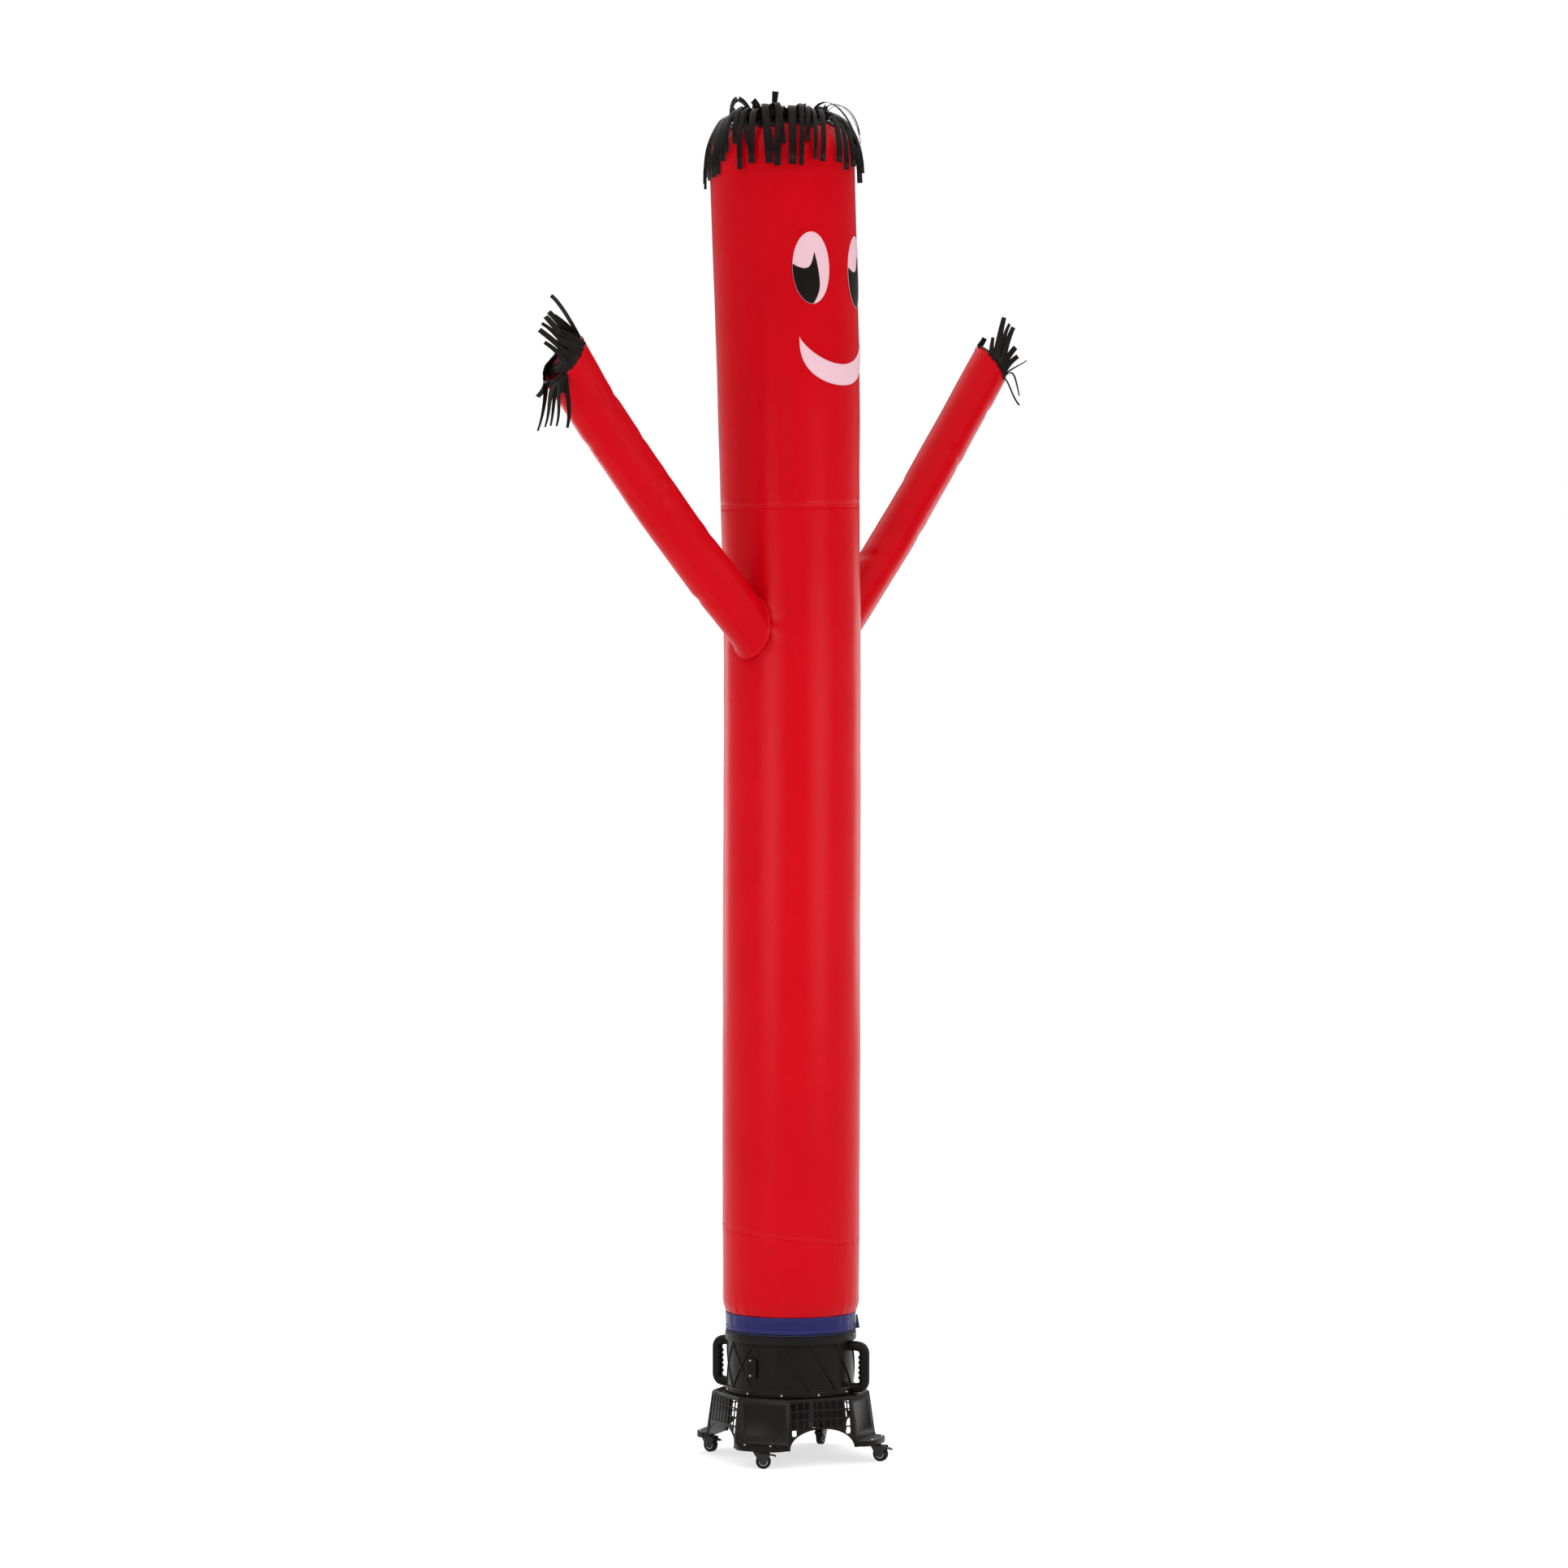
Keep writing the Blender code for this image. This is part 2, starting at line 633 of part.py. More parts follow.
def rib(start, turn):
    rings = []
    for k in range(3):
        t = k / 2
        low, high = (0.2440, 0.3988) if turn > 0 else (0.2434, 0.3981)
        z = low + (high - low) * (1 - t)
        az = start + turn * t
        side = (0.0062 if turn > 0 else -0.0058)
        a = math.degrees(0.5 * side / DRUM_R)
        rings.append([at(az - a, DRUM_R - 0.004, z), at(az + a, DRUM_R - 0.004, z),
                      at(az + a * 0.55, DRUM_R + RIB_RISE, z), at(az - a * 0.55, DRUM_R + RIB_RISE, z)])
    verts, faces = loft(rings)
    return verts, ([f[::-1] for f in faces] if turn > 0 else faces)


for sign, label in ((1, "ribs_down"), (-1, "ribs_up")):
    start = -62.0 if sign > 0 else -60.9
    ribs = add(label, *joined([rib(start + step * k, sign * step) for k in range(RIBS)]))
    combine(drum, ribs, "UNION")

# handles: a rounded D in the radial plane, trimmed to sit against the drum and its flange
handle_line = [(0.205, 0.3835), (0.236, 0.3835), (0.2545, 0.3790), (0.2640, 0.3660), (HANDLE_REACH, 0.3480),
               (HANDLE_REACH, 0.2760), (0.2640, 0.2600), (0.2545, 0.2470), (0.236, 0.2415), (0.205, 0.2415)]
seat = add("handle_seat", *lathe([(0.190, 0.200), (FLANGE_R + GAP, 0.200), (FLANGE_R + GAP, 0.2440),
                                  (DRUM_R + RIB_RISE + GAP, 0.2490), (DRUM_R + RIB_RISE + GAP, 0.430),
                                  (0.190, 0.430)], 39))
for az, label in zip(HANDLE_AZ, ("right", "left")):
    frame = frame_at(az, 0.0, 0.0)
    rings = []
    for i, (r, z) in enumerate(handle_line):
        before = handle_line[max(i - 1, 0)]
        after = handle_line[min(i + 1, len(handle_line) - 1)]
        d = Vector((after[0] - before[0], 0, after[1] - before[1])).normalized()
        n = Vector((d.z, 0, -d.x))
        ring = []
        for k in range(10):
            a = 2 * math.pi * k / 10
            c, s = math.cos(a), math.sin(a)
            c = math.copysign(abs(c) ** 0.8, c)
            s = math.copysign(abs(s) ** 0.8, s)
            ring.append(Vector((r, 0, z)) + n * HANDLE_HALF[0] * c + Vector((0, HANDLE_HALF[1] * s, 0)))
        rings.append(ring)
    verts, faces = loft(rings)
    handle = add("handle_" + label, turned(frame, verts), faces, "black_plastic")
    combine(handle, seat, "DIFFERENCE")

plate = add("switch_plate", *brick((0.0075, 0.040, 0.068)), "black_plastic")
plate.data.transform(frame_at(SWITCH_AZ, 0.2205, 0.3195))
soften = plate.modifiers.new("soften", "BEVEL")
soften.width = 0.0018
soften.segments = 1


# ---------------------------------------------------------------- base

def octagon(half, cut, z):
    c = cut * math.sqrt(2) - half
    pts = [(c, -half), (half, -c), (half, c), (c, half), (-c, half), (-half, c), (-half, -c), (-c, -half)]
    return [Vector((x, y, z)) for x, y in pts]


base = add("base", *loft([octagon(*r) for r in BASE_RINGS]), "black_plastic")
hollow = [(h - BASE_WALL, c - BASE_WALL, z) for h, c, z in BASE_RINGS[:2]]
hollow.append((BASE_RINGS[2][0] - BASE_WALL, BASE_RINGS[2][1] - BASE_WALL, 0.2190))
hollow.insert(0, (BASE_RINGS[0][0] - BASE_WALL + 0.003, BASE_RINGS[0][1] - BASE_WALL + 0.003, 0.040))
combine(base, add("base_hollow", *loft([octagon(*r) for r in hollow])), "DIFFERENCE")
verts, faces = rod(0.1965, 0.06, 32)
mouth = add("base_mouth", [Vector(v) + Vector((0, 0, 0.225)) for v in verts], faces)
combine(base, mouth, "DIFFERENCE")

pads = []
for az, _ in CASTORS.values():
    outline = [(0.228, -0.060), (0.262, -0.089), (0.297, -0.083), (0.322, -0.045), (0.322, 0.045),
               (0.297, 0.083), (0.262, 0.089), (0.228, 0.060)]
    v, f = prism(outline, FOOT_LOW + 0.0002, FOOT_HIGH)
    pads.append((turned(frame_at(az, 0.0, 0.0), v), f))
combine(base, add("foot_pads", *joined(pads)), "UNION")

for axis in (0, 1):
    rings = []
    for end in (-0.36, 0.36):
        ring = []
        for k in range(20):
            a = 2 * math.pi * (k + 0.5) / 20
            u, v = ARCH[0] * math.cos(a), FOOT_LOW + ARCH[1] * math.sin(a)
            ring.append(Vector((end, u, v)) if axis == 0 else Vector((-u, end, v)))
        rings.append(ring)
    combine(base, add("arch_" + "xy"[axis], *loft(rings)), "DIFFERENCE")

holes = []
for turn in range(4):
    spin = Matrix.Rotation(math.radians(90 * turn), 4, "Z")
    for row in range(GRILLE_ROWS):
        z = 0.1950 - GRILLE_PITCH[1] * row
        for k in range(GRILLE_COLS):
            x = (k - (GRILLE_COLS - 1) / 2) * GRILLE_PITCH[0]
            v, f = brick((GRILLE_HOLE[0], 0.060, GRILLE_HOLE[1]), (x, -0.245, z))
            holes.append((turned(spin, v), f))
    for side in (-1, 1):
        v, f = brick((0.009, 0.060, 0.030), (side * 0.1085, -0.255, 0.1090))
        holes.append((turned(spin, v), f))
tilt = math.degrees(math.atan2(BASE_RINGS[1][1] - BASE_RINGS[2][1], BASE_RINGS[2][2] - BASE_RINGS[1][2]))
for az, _ in CASTORS.values():
    z = 0.150
    face = float(np.interp(z, (BASE_RINGS[1][2], BASE_RINGS[2][2]), (BASE_RINGS[1][1], BASE_RINGS[2][1])))
    v, f = brick((0.0040, 0.128, 0.096))
    holes.append((turned(frame_at(az, face, z, tilt), v), f))
combine(base, add("grille_holes", *joined(holes)), "DIFFERENCE")


# ---------------------------------------------------------------- motor and fan

verts, faces = rod(0.075, 0.141, 24)
motor = add("motor", [Vector(v) + Vector((0, 0, 0.1655)) for v in verts], faces, "motor_paint")
for turn in (0, 90):
    v, f = brick((0.397, 0.014, 0.009), (0, 0, 0.2315))
    arm = add("motor_arm_%d" % turn, turned(Matrix.Rotation(math.radians(turn + 22), 4, "Z"), v), f)
    combine(motor, arm, "UNION")

verts, faces = rod(0.046, 0.042, 20)
fan = add("fan", [Vector(v) + Vector((0, 0, 0.2600)) for v in verts], faces, "black_plastic")
for k in range(6):
    v, f = brick((0.150, 0.074, 0.003), (0.116, 0, 0))
    turn = Matrix.Rotation(math.radians(60 * k), 4, "Z") @ Matrix.Translation((0, 0, 0.2610))
    turn = turn @ Matrix.Rotation(math.radians(26), 4, "X")
    combine(fan, add("fan_blade_%d" % k, turned(turn, v), f), "UNION")


# ---------------------------------------------------------------- castors

AXLE_Z = WHEEL_R
CHEEK = 0.0027


def castor(number, corner, heading):
    pivot = at(corner, CASTOR_R, 0.0)
    frame = frame_at(heading, 0.0, 0.0)            # x trails, y is the axle
    frame.translation = pivot
    mark = "castor_%d_" % number

    v, f = rod(0.0190, 0.0020, 12)
    add(mark + "plate", [p + pivot + Vector((0, 0, 0.0569)) for p in v], f, "fork_metal")

    def solid(name, v, f, mat=None):
        ob = add(name, v, f, mat)
        ob.data.transform(frame)
        return ob

    inner = WHEEL_W / 2 + 0.0018
    v, f = brick((0.052, 2 * (inner + CHEEK) - 0.0008, 0.0036), (0.0110, 0, 0.0535))
    fork = solid(mark + "fork", v, f, "fork_metal")
    outline = [(-0.0130, 0.0545), (0.0100, 0.0165), (0.0230, 0.0155), (0.0290, 0.0230), (0.0405, 0.0440),
               (0.0405, 0.0545)]
    for side in (-1, 1):
        y0 = side * (inner + CHEEK / 2)
        rings = [[Vector((x, y0 + d, z)) for x, z in outline] for d in (-CHEEK / 2 * 1.0, CHEEK / 2 * 1.0)]
        v, f = loft(rings)
        combine(fork, solid(mark + ("cheek_a" if side < 0 else "cheek_b"), v, f), "UNION")
    for label, x, z, r in (("axle", TRAIL, AXLE_Z, 0.0032), ("pin", 0.0370, 0.0462, 0.0012)):
        v, f = rod(r, 2 * (inner + CHEEK) + 0.001, 12 if r > 0.002 else 8)
        lay = Matrix.Translation((x, 0, z)) @ Matrix.Rotation(math.radians(90), 4, "X")
        combine(fork, solid(mark + label, turned(lay, v), f), "UNION")

    steps = 16
    edge = WHEEL_R / math.cos(math.pi / steps)
    half = WHEEL_W / 2
    start = -math.pi / 2 + math.pi / steps
    tyre = [(0.0175, -half), (edge - 0.0012, -half), (edge, -half + 0.0020), (edge, half - 0.0020),
            (edge - 0.0012, half), (0.0175, half)]
    hub = [(0.0034, -half + 0.0006), (0.0172, -half + 0.0006), (0.0172, half - 0.0006), (0.0034, half - 0.0006)]
    for name, profile, mat in (("tyre", tyre, "tyre_rubber"), ("hub", hub, "hub_plastic")):
        v, f = lathe(profile, steps, (TRAIL, 0, AXLE_Z), "Y", start)
        solid(mark + name, v, f, mat)

    v, f = lathe([(0.00145, -0.0095), (0.0029, -0.0095), (0.0029, 0.0095), (0.00145, 0.0095)],
                 10, (0.0370, 0, 0.0462), "Y")
    pedal = solid(mark + "pedal", v, f, "fork_metal")
    outline = [(0.0390, 0.0452), (0.0600, 0.0400), (0.0612, 0.0428), (0.0520, 0.0468), (0.0390, 0.0484)]
    rings = [[Vector((x, d, z)) for x, z in outline] for d in (-0.0090, 0.0090)]
    v, f = loft(rings)
    combine(pedal, solid(mark + "paddle", v, f), "UNION")


for number, (corner, heading) in CASTORS.items():
    castor(number, corner, heading)

# every solid's faces point outwards
bpy.context.view_layer.update()
for ob in list(parts.objects) + list(tools.objects):
    mesh = ob.data
    mesh.update()
    pts = np.array([v.co for v in mesh.vertices])
    volume = 0.0
    for poly in mesh.polygons:
        idx = list(poly.vertices)
        for i in range(1, len(idx) - 1):
            volume += float(np.dot(pts[idx[0]], np.cross(pts[idx[i]], pts[idx[i + 1]]))) / 6
    if volume < 0:
        mesh.flip_normals()
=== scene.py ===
import math
import random

import bmesh
import bpy
import numpy as np
from mathutils import Matrix, Vector


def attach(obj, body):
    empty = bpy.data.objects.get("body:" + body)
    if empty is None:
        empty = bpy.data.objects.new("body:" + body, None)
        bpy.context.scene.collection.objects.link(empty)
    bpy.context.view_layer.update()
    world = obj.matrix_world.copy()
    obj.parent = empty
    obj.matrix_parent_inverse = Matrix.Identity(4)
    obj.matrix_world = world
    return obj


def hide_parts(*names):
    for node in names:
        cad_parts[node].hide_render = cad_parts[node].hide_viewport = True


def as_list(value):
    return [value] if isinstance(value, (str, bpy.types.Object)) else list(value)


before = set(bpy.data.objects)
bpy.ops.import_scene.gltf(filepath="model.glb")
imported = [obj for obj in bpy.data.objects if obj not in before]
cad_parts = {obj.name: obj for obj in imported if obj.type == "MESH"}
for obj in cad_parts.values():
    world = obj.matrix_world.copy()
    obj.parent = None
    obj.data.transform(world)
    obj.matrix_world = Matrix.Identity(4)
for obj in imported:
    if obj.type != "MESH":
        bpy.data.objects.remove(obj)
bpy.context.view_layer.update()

scene = bpy.context.scene
zAxis = np.array((0.0, 0.0, 1.0))
print("frame loaded")

# camera, in metres, degrees and millimetres of lens
camera = dict(azimuth=-24.0, distance=21.2, height=3.2, pitch=2.52, aside=-0.0226, lens=145.2, sensor=36.0,
              clip=3000.0)


def bearing(az):                                        # 0 is -Y and 90 is +X
    a = np.radians(np.asarray(az, float))
    return np.stack((np.sin(a), -np.cos(a), np.zeros_like(a)), -1)


def wrapped(turn):                                      # an angle between -180 and 180
    return (turn + 180) % 360 - 180


def fullTurn(count):
    return 2 * np.pi * np.arange(count) / count


def linked(name, data):
    ob = bpy.data.objects.new(name, data)
    scene.collection.objects.link(ob)
    return ob


def makeCamera():
    data = bpy.data.cameras.new("viewCamera")
    data.lens, data.sensor_width, data.clip_end = camera["lens"], camera["sensor"], camera["clip"]
    a = math.radians(camera["azimuth"])
    right = np.array((math.cos(a), math.sin(a), 0.0))
    spot = bearing(camera["azimuth"]) * camera["distance"] + right * camera["aside"]
    ob = linked("viewCamera", data)
    ob.location = (spot[0], spot[1], camera["height"])
    ob.rotation_euler = (math.radians(90.0 - camera["pitch"]), 0.0, a)
    scene.camera = ob


makeCamera()
print("camera set")


# mesh helpers
def meshPiece(name, verts, faces, mat, uv=None):
    mesh = bpy.data.meshes.new(name)
    mesh.from_pydata(np.asarray(verts, float).tolist(), [], faces)
    mesh.materials.append(mat)
    if uv is not None:
        layer = mesh.uv_layers.new(name="cloth")
        layer.data.foreach_set("uv", np.asarray(uv, np.float32).ravel())
    mesh.update()
    mesh.shade_smooth()
    return linked(name, mesh)


def gridCells(rows, cols, width, height, loop, parts, base=0):
    faces, uv = [], []                                  # rows run upwards, columns round
    for r in range(rows - 1):
        v0, v1 = height * r / (rows - 1), height * (r + 1) / (rows - 1)
        for c in range(cols if loop else cols - 1):
            i, j, d = base + r * cols, base + (r + 1) * cols, (c + 1) % cols
            faces.append((i + c, i + d, j + d, j + c))
            u0, u1 = width * c / parts, width * (c + 1) / parts
            uv += [(u0, v0), (u1, v0), (u1, v1), (u0, v1)]
    return faces, uv


def gridPiece(name, points, mat, loop=False, width=1.0, height=1.0):
    rows, cols = points.shape[:2]
    faces, uv = gridCells(rows, cols, width, height, loop, cols)
    return meshPiece(name, points.reshape(-1, 3), faces, mat, uv)


def polarPiece(name, centre, rings, mat, size):
    n, last = len(rings[0]), len(rings) - 1             # rings run from the rim inwards
    verts = [centre] + [p for ring in rings for p in ring]
    faces, uv = [], []
    for i in range(last):
        for k in range(n):
            m = (k + 1) % n
            faces.append((1 + i * n + k, 1 + i * n + m, 1 + (i + 1) * n + m, 1 + (i + 1) * n + k))
    faces += [(1 + last * n + k, 1 + last * n + (k + 1) % n, 0) for k in range(n)]
    for face in faces:
        for v in face:
            ring, k = divmod(v - 1, n)
            share = 0.0 if v == 0 else 1 - ring / (last + 1)
            a = 2 * math.pi * k / n
            uv.append((size * share * math.cos(a), size * share * math.sin(a)))
    return meshPiece(name, verts, faces, mat, uv)


def bake(ob):
    deps = bpy.context.evaluated_depsgraph_get()
    result = ob.evaluated_get(deps)
    mesh = bpy.data.meshes.new_from_object(result, preserve_all_data_layers=True, depsgraph=deps)
    ob.modifiers.clear()
    ob.data = mesh
    return ob


def thicken(ob, thickness, offset=-1.0):
    mod = ob.modifiers.new("wall", "SOLIDIFY")
    mod.thickness, mod.offset = thickness, offset
    return bake(ob)


def smoothByAngle(ob, angle=38.0):
    ob.data.set_sharp_from_angle(angle=math.radians(angle))
    return ob


def bevelled(ob, width, segments=2, angle=35.0):
    mod = ob.modifiers.new("edges", "BEVEL")
    mod.width, mod.segments = width, segments
    mod.limit_method, mod.angle_limit = "ANGLE", math.radians(angle)
    return bake(ob)


def edited(ob, change):
    work = bmesh.new()
    work.from_mesh(ob.data)
    change(work)
    work.to_mesh(ob.data)
    work.free()
    return ob


def place(ob, matrix):
    ob.data.transform(matrix)
    return ob


def settle(ob, slot, *nodes, body="dancer"):
    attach(ob, body)
    if nodes:
        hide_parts(*nodes)
    return ob


def joinPieces(name, obs):
    verts, faces = [], []
    for ob in obs:
        base = len(verts)
        verts += [tuple(v.co) for v in ob.data.vertices]
        faces += [tuple(i + base for i in p.vertices) for p in ob.data.polygons]
    joined = meshPiece(name, verts, faces, obs[0].data.materials[0])
    for ob in obs:
        bpy.data.objects.remove(ob)
    return joined


def turnedPiece(name, profile, steps, mat):
    a = fullTurn(steps)                                 # profile runs up the outside, down the inside
    rings = [np.stack((r * np.sin(a), -r * np.cos(a), np.full(steps, h)), -1) for r, h in profile]
    faces = []
    for r in range(len(rings)):
        low, high = r * steps, (r + 1) % len(rings) * steps
        faces += [(low + c, low + (c + 1) % steps, high + (c + 1) % steps, high + c) for c in range(steps)]
    return smoothByAngle(meshPiece(name, np.array(rings).reshape(-1, 3), faces, mat))


def loftPiece(name, rings, mat):
    n, top = len(rings[0]), len(rings) - 1
    verts = [tuple(p) for ring in rings for p in ring]
    faces = [tuple(range(n - 1, -1, -1)), tuple(top * n + k for k in range(n))]
    for low in range(0, top * n, n):
        faces += [(low + k, low + (k + 1) % n, low + n + (k + 1) % n, low + n + k) for k in range(n)]
    return meshPiece(name, verts, faces, mat)


def prismPiece(name, outline, low, high, mat):
    return loftPiece(name, [[(x, y, z) for x, y in outline] for z in (low, high)], mat)


def boxPiece(name, size, mat, centre=(0, 0, 0)):
    x, y = size[0] / 2, size[1] / 2
    ob = prismPiece(name, [(-x, -y), (x, -y), (x, y), (-x, y)], -size[2] / 2, size[2] / 2, mat)
    return place(ob, Matrix.Translation(centre))


def carve(ob, tools, how="DIFFERENCE"):
    for tool in tools:
        mod = ob.modifiers.new("cut", "BOOLEAN")
        mod.object, mod.operation, mod.solver = tool, how, "EXACT"
        bake(ob)
        bpy.data.objects.remove(tool)
    return ob


def rounded(profile, radius=0.0015, steps=3):
    out = []                                            # every corner of a closed outline turned into an arc
    n = len(profile)
    for i in range(n):
        p, a, b = (np.array(profile[j % n], float) for j in (i, i - 1, i + 1))
        da, db = a - p, b - p
        la, lb = np.linalg.norm(da), np.linalg.norm(db)
        cut = min(radius, 0.45 * la, 0.45 * lb)
        s, e = p + da / la * cut, p + db / lb * cut
        for t in (k / steps for k in range(steps + 1)):
            out.append(tuple(s * (1 - t) ** 2 + p * 2 * t * (1 - t) + e * t * t))
    return out


def smoothLine(points, steps):
    points = np.asarray(points, float)
    out = []                                            # a smooth curve through all of the points
    padded = np.vstack((2 * points[0] - points[1], points, 2 * points[-1] - points[-2]))
    for i in range(1, len(padded) - 2):
        a, b, c, d = padded[i - 1:i + 3]
        for t in (k / steps for k in range(steps)):
            bend, swing = 2 * a - 5 * b + 4 * c - d, 3 * b - a - 3 * c + d
            out.append(0.5 * (2 * b + (c - a) * t + bend * t * t + swing * t ** 3))
    out.append(points[-1])
    return np.array(out)


def facingOut(grid, row):
    first = grid[row, 0]                                # turned round where faces would look inwards
    facing = np.cross(grid[row, 1] - first, grid[row + 1, 0] - first) @ (first - grid[row].mean(0))
    return grid[:, ::-1] if facing < 0 else grid


def localFrame(az, radius, z, tilt=0.0):
    out, up = Vector(bearing(az)), Vector((0, 0, 1))    # x outwards, y round, z up
    t = math.radians(tilt)
    ways = (out * math.cos(t) + up * math.sin(t), up.cross(out), up * math.cos(t) - out * math.sin(t))
    m = Matrix(ways).transposed().to_4x4()
    m.translation = out * radius + Vector((0, 0, z))
    return m


# node helpers
def addNode(tree, kind, links=(), **settings):
    node = tree.nodes.new(kind)
    for key, value in settings.items():
        setattr(node, key, value)
    for target, source in dict(links).items():
        socket = node.inputs[target]
        if hasattr(source, "is_output"):
            tree.links.new(source, socket)
        else:
            socket.default_value = source
    return node


def addMaths(tree, operation, a, b):
    return addNode(tree, "ShaderNodeMath", {0: a, 1: b}, operation=operation).outputs[0]


def addVector(tree, **axes):
    return addNode(tree, "ShaderNodeCombineXYZ", axes).outputs[0]


def addRange(tree, value, fromRange, toRange, **settings):
    return addNode(tree, "ShaderNodeMapRange", {
        "Value": value, "From Min": fromRange[0], "From Max": fromRange[1], "To Min": toRange[0],
        "To Max": toRange[1]}, **settings).outputs["Result"]


# geometry node trees
def newTree(name, inputs):
    tree = bpy.data.node_groups.new(name, "GeometryNodeTree")
    sockets = tree.interface
    sockets.new_socket("Geometry", in_out="INPUT", socket_type="NodeSocketGeometry")
    for label, value in inputs.items():
        kind = "NodeSocketInt" if isinstance(value, int) else "NodeSocketFloat"
        sockets.new_socket(label, in_out="INPUT", socket_type=kind).default_value = value
    sockets.new_socket("Finish", in_out="INPUT", socket_type="NodeSocketMaterial")
    sockets.new_socket("Geometry", in_out="OUTPUT", socket_type="NodeSocketGeometry")
    return tree, tree.nodes.new("NodeGroupInput").outputs


def closeTree(tree, given, geometry):
    real = addNode(tree, "GeometryNodeRealizeInstances", {"Geometry": geometry})
    done = addNode(tree, "GeometryNodeSetMaterial", {"Geometry": real.outputs["Geometry"],
                                                     "Material": given["Finish"]})
    result = tree.nodes.new("NodeGroupOutput")
    tree.links.new(done.outputs["Geometry"], result.inputs["Geometry"])
    return tree


def runTree(ob, tree, values):
    mod = ob.modifiers.new("maker", "NODES")
    mod.node_group = tree
    ids = {i.name: i.identifier for i in tree.interface.items_tree if i.in_out == "INPUT"}
    for label, value in values.items():
        mod[ids[label]] = value
    bake(ob)
    ob.data.materials.clear()
    ob.data.materials.append(values["Finish"])
    ob.data.shade_smooth()
    return ob


def makeStitchTree():
    tree, given = newTree("stitchRow", {"Pitch": 0.006, "Length": 0.004, "Thick": 0.0008, "Wander": 0.05,
                                        "Seed": 3})
    curve = addNode(tree, "GeometryNodeMeshToCurve", {"Mesh": given["Geometry"]})
    spots = addNode(tree, "GeometryNodeCurveToPoints", {"Curve": curve.outputs["Curve"],
                                                        "Length": given["Pitch"]}, mode="LENGTH")
    ball = addNode(tree, "GeometryNodeMeshUVSphere", {"Segments": 6, "Rings": 4, "Radius": 0.5})
    size = addVector(tree, X=given["Thick"], Y=given["Thick"], Z=given["Length"])
    shaped = addNode(tree, "GeometryNodeTransform", {"Geometry": ball.outputs["Mesh"], "Scale": size})
    low, high = (addMaths(tree, how, 1.0, given["Wander"]) for how in ("SUBTRACT", "ADD"))
    jitter = addNode(tree, "FunctionNodeRandomValue", {2: low, 3: high, "Seed": given["Seed"]},
                     data_type="FLOAT")
    put = addNode(tree, "GeometryNodeInstanceOnPoints", {
        "Points": spots.outputs["Points"], "Instance": shaped.outputs["Geometry"],
        "Rotation": spots.outputs["Rotation"], "Scale": jitter.outputs[1]})
    return closeTree(tree, given, put.outputs["Instances"])


def makeRibTree():
    tree, given = newTree("ribSweep", {"Radius": 0.003, "Sides": 8})
    curve = addNode(tree, "GeometryNodeMeshToCurve", {"Mesh": given["Geometry"]})
    loop = addNode(tree, "GeometryNodeCurvePrimitiveCircle", {"Resolution": given["Sides"],
                                                              "Radius": given["Radius"]})
    swept = addNode(tree, "GeometryNodeCurveToMesh", {
        "Curve": curve.outputs["Curve"], "Profile Curve": loop.outputs["Curve"], "Fill Caps": True})
    return closeTree(tree, given, swept.outputs["Mesh"])


def makeScrewTree():
    tree, given = newTree("screwHeads", {"Head Radius": 0.004, "Head Height": 0.002, "Seed": 5})
    facing = addNode(tree, "GeometryNodeInputNormal")
    kept = addNode(tree, "GeometryNodeCaptureAttribute", {"Geometry": given["Geometry"]}, domain="FACE")
    kept.capture_items.new("VECTOR", "Facing")
    tree.links.new(facing.outputs["Normal"], kept.inputs["Facing"])
    spots = addNode(tree, "GeometryNodeMeshToPoints", {"Mesh": kept.outputs["Geometry"]}, mode="FACES")
    turn = addNode(tree, "FunctionNodeAlignRotationToVector", {"Vector": kept.outputs["Facing"]}, axis="Z")
    spin = addNode(tree, "FunctionNodeRandomValue", {2: 0.0, 3: 3.14, "Seed": given["Seed"]},
                   data_type="FLOAT")
    both = addNode(tree, "FunctionNodeRotateRotation", {
        "Rotation": turn.outputs["Rotation"], "Rotate By": addVector(tree, Z=spin.outputs[1])},
        rotation_space="LOCAL")
    top, long, thin = (addMaths(tree, "MULTIPLY", given["Head Radius"], k) for k in (0.82, 1.25, 0.28))
    head = addNode(tree, "GeometryNodeMeshCone", {
        "Vertices": 20, "Side Segments": 1, "Fill Segments": 1, "Radius Top": top,
        "Radius Bottom": given["Head Radius"], "Depth": given["Head Height"]})
    whole = addNode(tree, "GeometryNodeJoinGeometry")
    tree.links.new(head.outputs["Mesh"], whole.inputs[0])
    rise = addVector(tree, Z=given["Head Height"])
    for x, y in ((long, thin), (thin, long)):           # the cross on the head
        bar = addNode(tree, "GeometryNodeMeshCube", {"Size": addVector(tree, X=x, Y=y, Z=thin)})
        moved = addNode(tree, "GeometryNodeTransform", {"Geometry": bar.outputs["Mesh"], "Translation": rise})
        tree.links.new(moved.outputs["Geometry"], whole.inputs[0])
    put = addNode(tree, "GeometryNodeInstanceOnPoints", {
        "Points": spots.outputs["Points"], "Instance": whole.outputs["Geometry"],
        "Rotation": both.outputs["Rotation"]})
    return closeTree(tree, given, put.outputs["Instances"])


